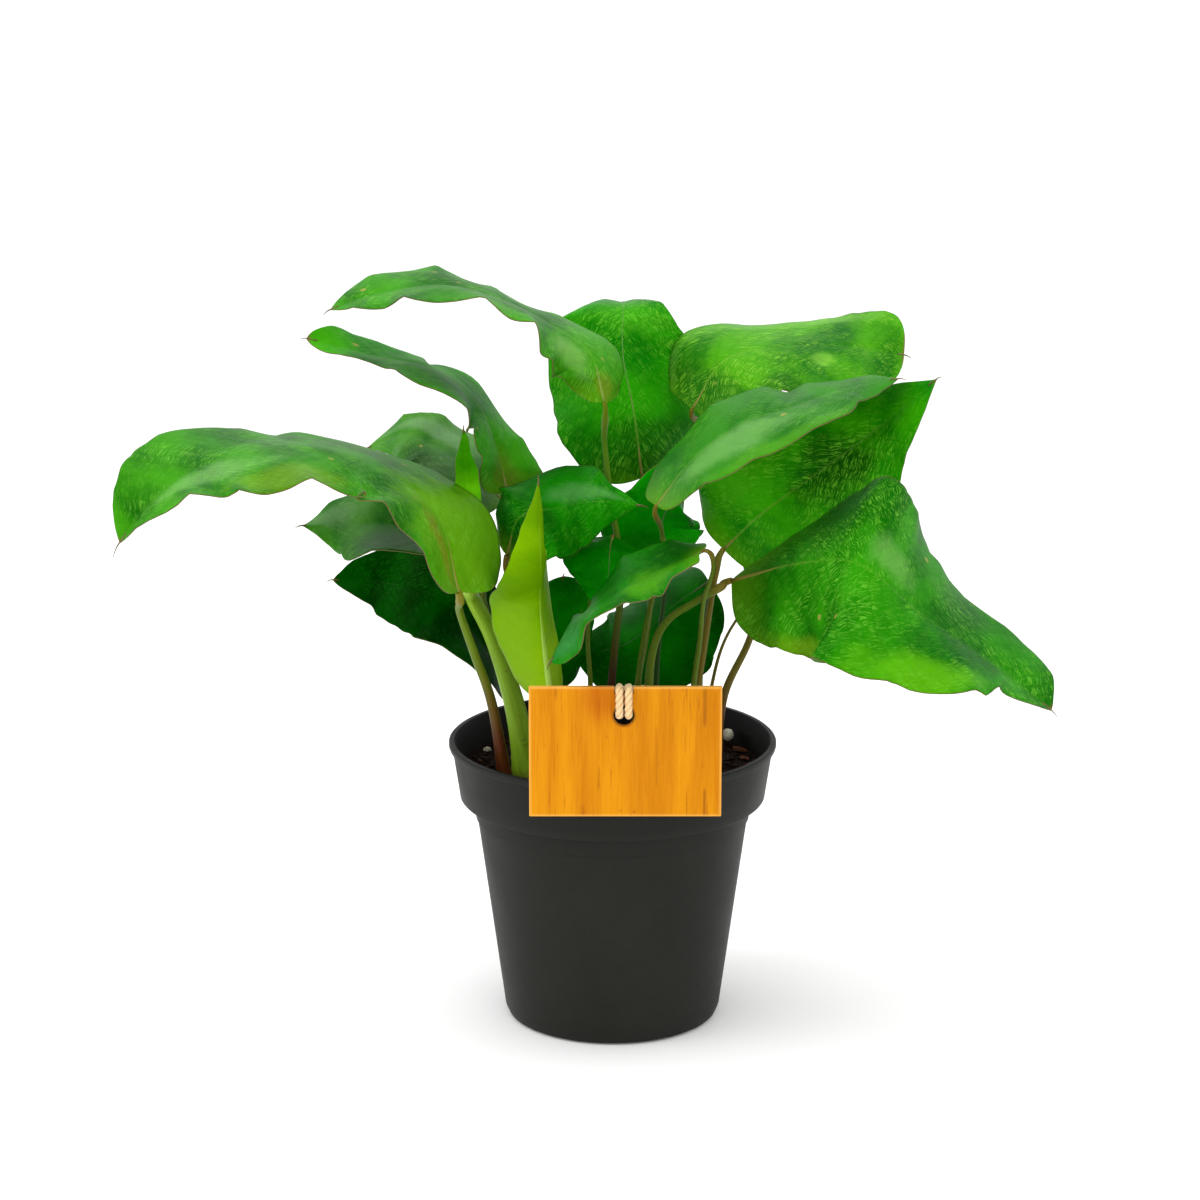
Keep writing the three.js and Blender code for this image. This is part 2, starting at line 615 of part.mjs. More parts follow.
const container = new THREE.Group();
container.name = 'pot_and_soil';
container.add(named('pot', pot(), material(COLOURS.pot, 0.75)));
container.add(named('soil', soil(), material(COLOURS.soil, 0.95)));
const bead = named('feed_bead', new THREE.SphereGeometry(BEAD_RADIUS, 12, 8), material(COLOURS.bead, 0.6));
bead.position.set(BEAD_PLACE[0], BEAD_PLACE[1], SOIL_LEVEL + SEAT_GAP + BEAD_RADIUS);
container.add(bead);
plant.add(container);

const label = new THREE.Group();
label.name = 'tag_and_loop';
label.add(named('care_tag', tag(), material(COLOURS.tag, 0.6)));
label.add(named('tag_loop', loop(), material(COLOURS.cord, 0.9)));
plant.add(label);

for (const leaf of LEAVES) {
  const growth = new THREE.Group();
  growth.name = `growth_${leaf.name}`;
  growth.add(named(`leaf_${leaf.name}`, blade(leaf), material(leafColour(leaf.name), 0.45)));
  growth.add(named(`stem_${leaf.name}`, stem(leaf), material(COLOURS.stem, 0.6)));
  plant.add(growth);
}

export default plant;
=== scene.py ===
"""Potted mosaic prayer plant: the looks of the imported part, in the part's own frame.

The pot, soil, feed bead, care tag with its cord loop and twenty leaves on their stalks are built
here in metres, each standing for the CAD node of the same place. Sizes in the classes are in
millimetres and MM turns them into metres.
"""

import logging
import math
import random
from collections.abc import Callable, Sequence
from dataclasses import dataclass
from enum import Enum

import bmesh
import bpy
import numpy as np
from mathutils import Matrix, Vector, noise


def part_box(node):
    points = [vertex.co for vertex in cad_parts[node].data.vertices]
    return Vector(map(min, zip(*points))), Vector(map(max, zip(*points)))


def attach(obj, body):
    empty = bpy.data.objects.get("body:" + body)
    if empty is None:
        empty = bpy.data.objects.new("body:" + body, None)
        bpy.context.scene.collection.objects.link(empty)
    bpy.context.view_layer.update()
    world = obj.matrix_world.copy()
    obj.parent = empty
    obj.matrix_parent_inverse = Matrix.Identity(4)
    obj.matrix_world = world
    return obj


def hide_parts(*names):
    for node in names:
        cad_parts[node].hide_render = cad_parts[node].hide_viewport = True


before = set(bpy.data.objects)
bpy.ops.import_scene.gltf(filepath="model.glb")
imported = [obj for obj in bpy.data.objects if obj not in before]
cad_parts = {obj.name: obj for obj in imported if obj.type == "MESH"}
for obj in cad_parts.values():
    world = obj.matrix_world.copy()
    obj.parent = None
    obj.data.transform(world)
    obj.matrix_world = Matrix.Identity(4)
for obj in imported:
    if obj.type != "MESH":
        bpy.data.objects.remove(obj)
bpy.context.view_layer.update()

LOG = logging.getLogger("potted_plant")
MM = 0.001
BODY = "root"
MERGE = 1e-6
# How the side veins run: along the blade, back across it, and their curve.
VEIN_RUN, VEIN_LEAN, VEIN_BEND = 0.82, 0.5, 0.006

Point = tuple[float, float, float]
Pair = tuple[float, float]
Paint = tuple[int, int, int]
Rows = np.ndarray
Mesh = bmesh.types.BMesh
Piece = bpy.types.Object
Material = bpy.types.Material
Tree = bpy.types.NodeTree
Socket = bpy.types.NodeSocket
Value = Socket | float | tuple
# Gives the radius in metres from the angle round a tube and the share of its length.
Radius = Callable[[Rows, Rows], Rows]


# Small tools for numbers and meshes


def paint(red: int, green: int, blue: int) -> tuple[float, float, float, float]:
    """Linear colour of a screen colour given in steps of 0 to 255."""
    return (*(((c / 255 + 0.055) / 1.055) ** 2.4 if c > 10 else c / 3294.6 for c in (red, green, blue)), 1.0)


def spline(points: Sequence, share: Rows) -> Rows:
    """Points of a uniform Catmull-Rom curve.

    Args:
        points: Its control points or numbers, first and last included.
        share: Where to read it, from 0 at the first point to 1 at the last.

    Returns:
        One row of values for each share.
    """
    knots = np.array(points, float).reshape(len(points), -1)
    knots = np.vstack([2 * knots[0] - knots[1], knots, 2 * knots[-1] - knots[-2]])
    at = share * (len(points) - 1)
    first = np.minimum(np.floor(at).astype(int), len(points) - 2)
    u = (at - first)[:, None]
    a, b, c, d = (knots[first + i] for i in range(4))
    return 0.5 * (2 * b + (c - a) * u + (2 * a - 5 * b + 4 * c - d) * u**2 + (3 * b - a - 3 * c + d) * u**3)


def unit(rows: Rows) -> Rows:
    """Each row at a length of one."""
    return rows / np.maximum(np.linalg.norm(rows, axis=1), 1e-12)[:, None]


def reaches(path: Sequence) -> Rows:
    """Length along a path from its start to each of its points."""
    return np.concatenate([[0], np.cumsum(np.linalg.norm(np.diff(path, axis=0), axis=1))])


def smooth_step(value: Rows, low: float, high: float) -> Rows:
    """0 below low, 1 above high and an even S between them."""
    u = np.clip((value - low) / (high - low), 0, 1)
    return u * u * (3 - 2 * u)


def wander(rows: Rows, seed: float) -> Rows:
    """Seeded noise of about -1 to 1 at each row of three values."""
    return np.array([noise.fractal(Vector(row) + Vector((seed, 7.3, 1.9)), 1.0, 2.0, 2) for row in rows])


def finish_mesh(bm: Mesh, name: str, materials: Sequence[Material], sharp: float = 35.0) -> Piece:
    """Turns a bmesh into an object at the origin.

    Args:
        bm: The finished bmesh, in metres. It is freed.
        name: Name of the piece.
        materials: Its finishes, in the order of the faces' material numbers.
        sharp: Edges that turn more than this many degrees stay crisp.

    Returns:
        The linked object.
    """
    mesh = bpy.data.meshes.new(name)
    bm.to_mesh(mesh)
    bm.free()
    mesh.polygons.foreach_set("use_smooth", [True] * len(mesh.polygons))
    mesh.set_sharp_from_angle(angle=math.radians(sharp))
    for material in materials:
        mesh.materials.append(material)
    piece = bpy.data.objects.new(name, mesh)
    bpy.context.scene.collection.objects.link(piece)
    return piece


def applied(piece: Piece) -> Piece:
    """Makes a piece's modifiers part of its mesh.

    Args:
        piece: The piece, with its modifiers set.

    Returns:
        The same piece.
    """
    graph = bpy.context.evaluated_depsgraph_get()
    mesh = bpy.data.meshes.new_from_object(piece.evaluated_get(graph), depsgraph=graph)
    piece.modifiers.clear()
    piece.data = mesh
    return piece


def softened(piece: Piece, width: float, segments: int, angle: float) -> Piece:
    """Rounds a piece's edges for good.

    Args:
        piece: The piece.
        width: Width of the rounding in millimetres.
        segments: Faces across it.
        angle: Edges that turn more than this many degrees are rounded.

    Returns:
        The same piece.
    """
    soften = piece.modifiers.new("soft edges", "BEVEL")
    soften.width, soften.segments, soften.limit_method = width * MM, segments, "ANGLE"
    soften.angle_limit, soften.harden_normals = math.radians(angle), True
    return applied(piece)


def carve(piece: Piece, cutter: Mesh) -> None:
    """Cuts closed shapes out of a piece for good.

    Args:
        piece: The piece.
        cutter: The shapes. It is freed.
    """
    tool = finish_mesh(cutter, "cutter", [])
    cut = piece.modifiers.new("cut", "BOOLEAN")
    cut.object, cut.operation, cut.solver = tool, "DIFFERENCE", "EXACT"
    applied(piece)
    bpy.data.objects.remove(tool)


def add_peg(bm: Mesh, radius: float, segments: int, place: Matrix) -> None:
    """Adds a straight peg that carves a round hole, its radius in millimetres."""
    bmesh.ops.create_cone(bm, cap_ends=True, segments=segments, radius1=radius * MM, radius2=radius * MM,
                          depth=8 * MM, matrix=place)


def turned(profile: Sequence[Pair], steps: int) -> Mesh:
    """Spins a profile round the upright axis.

    Args:
        profile: Radius and height of each of its points in millimetres.
        steps: Faces round it.

    Returns:
        The closed shape.
    """
    bm = bmesh.new()
    ring = [bm.verts.new((r * MM, 0, z * MM)) for r, z in profile]
    edges = [bm.edges.new(pair) for pair in zip(ring, ring[1:])]
    bmesh.ops.spin(bm, geom=ring + edges, cent=(0, 0, 0), axis=(0, 0, 1), angle=math.tau, steps=steps,
                   use_merge=True)
    bmesh.ops.remove_doubles(bm, verts=bm.verts, dist=MERGE)
    bmesh.ops.recalc_face_normals(bm, faces=bm.faces)
    return bm


def carried(piece: Piece, node: str) -> Piece:
    """Fixes a piece to the plant's one body in the place of a CAD node.

    Args:
        piece: The finished piece.
        node: Name of the CAD node that it stands for.

    Returns:
        The same piece.
    """
    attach(piece, BODY)
    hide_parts(node)
    return piece


def along_frames(path: Rows, closed: bool) -> tuple[Rows, Rows]:
    """Cross-section axes that follow a path without sudden turns.

    Args:
        path: Points of the path, one row each.
        closed: True if the last point is the first one again.

    Returns:
        Two rows of unit vectors for each point, both square to the path.
    """
    run = np.gradient(path, axis=0)
    if closed:
        run[0] = run[-1] = path[1] - path[-2]
    run = unit(run)
    axis = [np.cross(run[0], (0.31, 0.2, 0.93))]
    for heading in run[1:]:
        axis.append(axis[-1] - heading * np.dot(axis[-1], heading))
        axis[-1] = axis[-1] / np.linalg.norm(axis[-1])
    first = unit(np.array(axis))
    second = np.cross(run, first)
    if closed:
        turn = math.atan2(np.dot(np.cross(first[-1], first[0]), run[0]), np.dot(first[-1], first[0]))
        angle = np.linspace(0, turn, len(path))[:, None]
        first = first * np.cos(angle) + second * np.sin(angle)
        second = np.cross(run, first)
    return first, second


def add_tube(bm: Mesh, path: Rows, radius: Radius, sides: int, closed: bool = False) -> None:
    """Adds a tube to a bmesh: a grid wrapped round a path.

    Args:
        bm: Takes the tube.
        path: Points of its centre line in metres.
        radius: Gives its radius.
        sides: Faces round it.
        closed: True for a loop whose last point is its first.
    """
    first, second = along_frames(path, closed)
    steps = len(path) - 1
    place = bm.verts.layers.float_vector.get("place") or bm.verts.layers.float_vector.new("place")
    grid = bmesh.ops.create_grid(bm, x_segments=sides, y_segments=steps, size=1)["verts"]
    length = reaches(path)
    at = np.array([v.co[:] for v in grid])
    angle = (at[:, 0] + 1) * math.pi
    step = np.rint((at[:, 1] + 1) / 2 * steps).astype(int)
    reach = radius(angle, length[step] / length[-1])[:, None]
    around = first[step] * np.cos(angle)[:, None] + second[step] * np.sin(angle)[:, None]
    for vert, co, turn, i in zip(grid, path[step] + around * reach, angle, step):
        vert.co = co
        vert[place] = (turn, length[i] / MM, length[i] / length[-1])
    seam = [v for v, u in zip(grid, at) if abs(u[0]) > 0.999 or (closed and abs(u[1]) > 0.999)]
    bmesh.ops.remove_doubles(bm, verts=seam, dist=MERGE)
    if not closed:
        rims = {e for v in grid if v.is_valid for e in v.link_edges if e.is_boundary}
        bmesh.ops.holes_fill(bm, edges=list(rims), sides=0)


# Node trees


class Graph:
    """Short calls that add nodes to one node tree and link them."""

    def __init__(self, tree: Tree) -> None:
        """Keeps the tree that the calls add to."""
        self.tree = tree

    def feed(self, socket: Socket, value: Value) -> None:
        """Links an input to an output, or sets its value.

        Args:
            socket: The input.
            value: The output or the value.
        """
        if isinstance(value, Socket):
            self.tree.links.new(value, socket)
        else:
            socket.default_value = value

    def node(self, kind: str, inputs: dict[str | int, Value] | None = None,
             **settings: object) -> bpy.types.Node:
        """Adds a node.

        Args:
            kind: Its type, without the leading ShaderNode.
            inputs: Values or sockets for its inputs, by name or number.
            settings: Its own settings by name.

        Returns:
            The node.
        """
        made = self.tree.nodes.new("ShaderNode" + kind)
        for name, value in settings.items():
            setattr(made, name, value)
        for key, value in (inputs or {}).items():
            self.feed(made.inputs[key], value)
        return made

    def math(self, operation: str, *values: Value) -> Socket:
        """Result of a Math node with these values."""
        return self.node("Math", dict(enumerate(values)), operation=operation).outputs[0]

    def times(self, first: Value, second: Value) -> Socket:
        """Product of two numbers."""
        return self.math("MULTIPLY", first, second)

    def line(self, value: Value, slope: Value, start: Value) -> Socket:
        """A number times a slope, plus a start."""
        return self.math("MULTIPLY_ADD", value, slope, start)

    def vector(self, operation: str, first: Value, second: Value) -> Socket:
        """Result of a Vector Math node."""
        return self.node("VectorMath", {0: first, 1: second}, operation=operation).outputs[0]

    def scaled(self, place: Value, factor: Value) -> Socket:
        """A vector times a number."""
        return self.node("VectorMath", {0: place, "Scale": factor}, operation="SCALE").outputs[0]

    def measure(self, operation: str, *places: Value) -> Socket:
        """Number that a Vector Math node gives, such as a length."""
        return self.node("VectorMath", dict(enumerate(places)), operation=operation).outputs["Value"]

    def step(self, value: Value, low: Value, high: Value, start: float = 0.0, end: float = 1.0) -> Socket:
        """Smooth step of a value from low to high, clamped."""
        sockets = {"Value": value, "From Min": low, "From Max": high, "To Min": start, "To Max": end}
        return self.node("MapRange", sockets, interpolation_type="SMOOTHSTEP").outputs[0]

    def mix(self, share: Value, first: Value, second: Value, blend: str = "MIX") -> Socket:
        """Colour that goes from first to second with the share."""
        sockets = {0: share, 6: first, 7: second}
        return self.node("Mix", sockets, data_type="RGBA", blend_type=blend).outputs[2]

    def glaze(self, colour: Value, mask: Value, strength: float, over: Paint) -> Socket:
        """Lays a screen colour over a colour where a mask shows."""
        return self.mix(self.times(mask, strength), colour, paint(*over))

    def noise(self, place: Value, scale: float, detail: float = 3.0, rough: float = 0.5) -> Socket:
        """Noise of about 0 to 1 at a place."""
        sockets = {"Vector": place, "Scale": scale, "Detail": detail, "Roughness": rough}
        return self.node("TexNoise", sockets).outputs["Fac"]

    def split(self, place: Value) -> list[Socket]:
        """The three numbers of a vector."""
        return list(self.node("SeparateXYZ", {0: place}).outputs)

    def join(self, x: Value, y: Value, z: Value = 0.0) -> Socket:
        """A vector of three numbers."""
        return self.node("CombineXYZ", {0: x, 1: y, 2: z}).outputs[0]

    def attribute(self, name: str) -> Socket:
        """Vector that the mesh holds under a name."""
        return self.node("Attribute", attribute_name=name).outputs["Vector"]

    def millimetres(self) -> Socket:
        """The object's own coordinates in millimetres."""
        return self.scaled(self.node("TexCoord").outputs["Object"], 1 / MM)

    def bump(self, height: Value, depth: float, strength: float = 1.0, under: Socket | None = None) -> Socket:
        """Normal of a height field.

        Args:
            height: 0 to 1.
            depth: Metres between 0 and 1.
            strength: Share of the effect.
            under: Normal that it adds to.

        Returns:
            The normal.
        """
        sockets = {"Height": height, "Distance": depth, "Strength": strength}
        if under is not None:
            sockets["Normal"] = under
        return self.node("Bump", sockets).outputs[0]

    def group(self, tree: Tree, **inputs: Value) -> dict[str, Socket]:
        """Places a node group.

        Args:
            tree: The group.
            inputs: Its inputs, with _ for each space in a name.

        Returns:
            Its outputs by name.
        """
        given = {name.replace("_", " "): value for name, value in inputs.items()}
        return {socket.name: socket for socket in self.node("Group", given, node_tree=tree).outputs}


class Effect(Graph):
    """A node group in the making, with its input and output sockets by name."""

    def __init__(self, name: str, inputs: dict[str, float | None], outputs: Sequence[str]) -> None:
        """Starts the group.

        Args:
            name: Its name.
            inputs: Its inputs with their usual values, None for a vector.
            outputs: Names of its outputs, all of them numbers.
        """
        super().__init__(bpy.data.node_groups.new(name, "ShaderNodeTree"))
        sockets = self.tree.interface
        for label, usual in inputs.items():
            kind = "NodeSocketVector" if usual is None else "NodeSocketFloat"
            made = sockets.new_socket(name=label, in_out="INPUT", socket_type=kind)
            if usual is not None:
                made.default_value = usual
        for label in outputs:
            sockets.new_socket(name=label, in_out="OUTPUT", socket_type="NodeSocketFloat")
        self.given = {s.name: s for s in self.tree.nodes.new("NodeGroupInput").outputs if s.name}
        self.out = {s.name: s for s in self.tree.nodes.new("NodeGroupOutput").inputs if s.name}

    def done(self, **outputs: Socket) -> Tree:
        """Feeds the outputs and returns the group.

        Args:
            outputs: What each output gives.

        Returns:
            The group.
        """
        for name, value in outputs.items():
            self.feed(self.out[name], value)
        return self.tree


class Coat(Graph):
    """A material in the making, with its Principled shader."""

    def __init__(self, name: str) -> None:
        """Starts the material.

        Args:
            name: Its name.
        """
        self.material = bpy.data.materials.new(name)
        self.material.use_nodes = True
        super().__init__(self.material.node_tree)
        self.shader = self.tree.nodes["Principled BSDF"]

    def done(self, colour: Socket, rough: Value, normal: Socket | None = None,
             **fixed: float | tuple) -> Material:
        """Feeds the shader and returns the material.

        Args:
            colour: Its base colour.
            rough: Its roughness.
            normal: Its normal, if it has relief.
            fixed: Inputs that are the same all over, with _ for each space in a name.

        Returns:
            The material.
        """
        self.feed(self.shader.inputs["Base Color"], colour)
        self.feed(self.shader.inputs["Roughness"], rough)
        if normal is not None:
            self.feed(self.shader.inputs["Normal"], normal)
        for name, value in fixed.items():
            self.shader.inputs[name.replace("_", " ")].default_value = value
        return self.material


# Effects that several finishes use


def mosaic_group() -> Tree:
    """The leaf's mosaic: pale rungs between side veins that curve from the midrib to the tip.

    Place holds the distance across from the midrib and along it in millimetres.

    Returns:
        The node group.
    """
    sizes = {"Place": None, "Vein Gap": 4.8, "Rung Gap": 0.46, "Seed": 0.0}
    g = Effect("Mosaic", sizes, ("Rungs", "Veins", "Patches", "Ripple"))
    place, vein_gap, rung_gap, seed = g.given.values()
    drift = g.node("TexNoise", {"Vector": place, "Scale": 0.2, "Detail": 4.0}).outputs["Color"]
    shaken = g.scaled(g.vector("SUBTRACT", drift, (0.5, 0.5, 0.5)), 4.2)
    across, along, _ = g.split(g.vector("ADD", place, shaken))
    reach = g.math("ABSOLUTE", across)
    half = g.math("ADD", g.math("GREATER_THAN", across, 0.0), seed)
    curve = g.times(reach, g.line(reach, VEIN_BEND, VEIN_LEAN))
    strips = g.math("DIVIDE", g.math("SUBTRACT", g.times(along, VEIN_RUN), curve), vein_gap)
    luck = g.join(g.math("FLOOR", strips), half, 3.0)
    offset = g.node("TexWhiteNoise", {"Vector": luck}, noise_dimensions="3D").outputs["Value"]
    way = g.line(reach, 0.82, g.times(along, 0.57))
    rungs = g.line(offset, 40.0, g.math("DIVIDE", way, rung_gap))
    side = g.math("ABSOLUTE", g.line(g.math("FRACT", strips), 2.0, -1.0))
    hatch = g.noise(g.join(rungs, g.times(strips, 0.8), half), 1.2, 2.0, 0.7)
    shown = g.times(g.step(hatch, 0.47, 0.66), g.step(side, 1.25, 0.6))
    shifted = g.vector("ADD", place, g.join(0.0, 0.0, g.times(seed, 9.1)))
    return g.done(Rungs=shown, Veins=g.step(side, 0.78, 1.0),
                  Patches=g.step(g.noise(shifted, 0.055, 2.0), 0.36, 0.62),
                  Ripple=g.math("SUBTRACT", 1.0, g.times(side, side)))


def fleck_group() -> Tree:
    """Small specks and soft smudges at places in millimetres.

    Returns:
        The node group.
    """
    sizes = {"Place": None, "Speck Size": 2.0, "Share": 0.1, "Smudge Size": 20.0}
    g = Effect("Flecks", sizes, ("Specks", "Smudges"))
    place, speck_size, share, smudge_size = g.given.values()
    cells = g.scaled(place, g.math("DIVIDE", 1.0, speck_size))
    dots = g.node("TexVoronoi", {"Vector": cells, "Scale": 1.0})
    here = g.math("LESS_THAN", g.split(dots.outputs["Color"])[0], share)
    wide = g.scaled(place, g.math("DIVIDE", 1.0, smudge_size))
    return g.done(Specks=g.times(here, g.step(dots.outputs["Distance"], 0.28, 0.12)),
                  Smudges=g.step(g.noise(wide, 1.0, 4.0, 0.6), 0.35, 0.7))


def blotch_group() -> Tree:
    """Soft patch round a centre, in the leaf's own shares across and along.

    Returns:
        The node group.
    """
    sizes = {"Place": None, "Centre": None, "Size": None, "Noise": 0.5, "Strength": 0.6}
    g = Effect("Blotch", sizes, ("Mask",))
    place, centre, size, rough, strength = g.given.values()
    gap = g.vector("DIVIDE", g.vector("SUBTRACT", place, centre), size)
    far = g.measure("LENGTH", g.vector("MULTIPLY", gap, (1.0, 1.0, 0.0)))
    ragged = g.line(g.math("SUBTRACT", rough, 0.5), 1.3, far)
    return g.done(Mask=g.times(g.step(ragged, 1.15, 0.35), strength))


def fibre_group() -> Tree:
    """Fine fibres and broader bands that run along the third axis, at places in millimetres.

    Returns:
        The node group.
    """
    g = Effect("Fibres", {"Place": None, "Width": 0.5, "Length": 14.0}, ("Fibres", "Bands"))
    place, width, length = g.given.values()
    x, y, z = g.split(place)
    thin = g.join(g.math("DIVIDE", x, width), g.math("DIVIDE", y, width), g.math("DIVIDE", z, length))
    broad = g.vector("MULTIPLY", thin, (0.09, 0.09, 0.22))
    return g.done(Fibres=g.noise(thin, 1.0, 4.0, 0.62), Bands=g.noise(broad, 1.0, 3.0, 0.5))


class Effects:
    """The shared node groups, each built once."""

    def __init__(self) -> None:
        """Builds the groups."""
        self.mosaic, self.flecks = mosaic_group(), fleck_group()
        self.blotch, self.fibres = blotch_group(), fibre_group()


# Leaves


@dataclass(frozen=True)
class LeafTone:
    """Colours and gloss of one leaf.

    The colours are screen colours: deep and fresh for the blade, rung for the mosaic, warm for the
    base near the stalk, back for the underside. mosaic is how plainly the rungs show.
    """

    deep: Paint = (4, 80, 0)
    fresh: Paint = (48, 128, 6)
    rung: Paint = (112, 182, 58)
    warm: Paint = (84, 136, 6)
    back: Paint = (58, 112, 24)
    mosaic: float = 0.48
    warm_reach: float = 0.06
    roughness: float = 0.42
    specular: float = 0.06
    sheen: float = 0.0


class Tone(Enum):
    """Named leaf colours. Apart from SPEAR and YOUNG they are lighter and darker copies of one leaf green,
    each matched to how lit its leaf is, so they carry painted light and shade; SHADED and LOW are painted
    shade for leaves deep inside the plant.
    """

    LIT = LeafTone()
    UPPER = LeafTone((0, 100, 0), (52, 146, 4), mosaic=0.4, specular=0.03)
    BRIGHT = LeafTone((4, 90, 0), (60, 138, 2), (134, 194, 56), mosaic=0.6)
    DEEP = LeafTone((0, 82, 0), (34, 124, 2), (110, 184, 52), mosaic=0.6)
    MIDDLE = LeafTone((0, 76, 0), (12, 114, 0), (76, 162, 36), mosaic=0.42, specular=0.04)
    BACKDROP = LeafTone((0, 100, 0), (30, 134, 0), (104, 184, 44), mosaic=0.6)
    INNER = LeafTone((4, 108, 0), (46, 146, 0), (110, 188, 44), mosaic=0.65)
    GLOSSY = LeafTone((8, 88, 0), (36, 114, 6), (94, 160, 46), mosaic=0.45, roughness=0.36, specular=0.09)
    GREYISH = LeafTone((8, 92, 2), (56, 122, 24), (106, 154, 60), mosaic=0.45, specular=0.18, sheen=0.02)
    SHADED = LeafTone((0, 42, 0), (0, 68, 0), (18, 108, 8), (12, 74, 0), (4, 54, 2), 0.5, specular=0.03)
    LOW = LeafTone((0, 66, 0), (4, 104, 0), (24, 116, 10), (12, 74, 0), (4, 54, 2), 0.5, specular=0.03)
    DIM = LeafTone((0, 110, 0), (8, 142, 0), (36, 146, 18), (16, 96, 0), (6, 80, 2), 0.6, specular=0.03)
    HIDDEN = LeafTone((0, 94, 0), (6, 126, 0), (28, 128, 12), (16, 86, 0), (6, 70, 2), 0.5, specular=0.03)
    SPEAR = LeafTone((44, 126, 0), (88, 168, 6), (100, 170, 20), (90, 140, 8), mosaic=0.15, specular=0.05)
    YOUNG = LeafTone((88, 134, 0), (110, 158, 0), (124, 172, 4), (126, 166, 8), (116, 156, 6), 0.12, 0.25,
                     specular=0.05)


@dataclass(frozen=True)
class StemTone:
    """Screen colours of a stalk: at the soil, along it, and at its swollen top."""

    foot: Paint = (84, 46, 14)
    middle: Paint = (84, 112, 20)
    top: Paint = (120, 104, 30)
    blush: float = 0.35
    foot_reach: float = 0.3


class Stalk(Enum):
    """Named stalk colours."""

    OLIVE = StemTone()
    TALL = StemTone((58, 24, 10), (82, 124, 10), (104, 126, 12), 0.25, 0.62)
    STOUT = StemTone((78, 38, 8), (96, 124, 14), (116, 112, 14), 0.35, 0.6)
    BROWN = StemTone((86, 52, 16), (104, 98, 22), (112, 104, 18), 0.5)
    PALE = StemTone((110, 120, 30), (128, 168, 34), (140, 180, 50), 0.05, 0.1)
    DARK = StemTone((40, 30, 14), (30, 70, 10), (60, 70, 16), 0.4)


@dataclass(frozen=True)
class Zone:
    """Part of a leaf's face in a colour of its own. Zones hold painted sheen, painted shade and yellower
    green patches.

    at and size are shares across (-1 to 1) and along (0 to 1), colour is a screen colour.
    """

    at: Pair
    size: Pair
    colour: Paint
    strength: float = 0.6


@dataclass(frozen=True)
class LeafForm:
    """Shape of one leaf and its stalk in millimetres of the part's frame.

    midrib and stem are points, facing the directions that the upper side looks, cup_left and
    cup_right the angles by which each half lifts, droop how its margin falls back. heel, shoulder
    and taper form the outline.
    """

    name: str
    half_width: float
    droop: float
    cup_left: Point
    cup_right: Point
    stem_radius: float
    midrib: tuple[Point, ...]
    facing: tuple[Point, ...]
    stem: tuple[Point, ...]
    taper: Pair
    shoulder: Pair = (0.25, 0.25)
    heel: float = 0.0
    hair: float = 2.5
    wave: Pair = (1.0, 1.0)
    tone: Tone = Tone.LIT
    stalk: Stalk = Stalk.OLIVE
    slot: str = "leaf"
    zones: tuple[Zone, ...] = ()
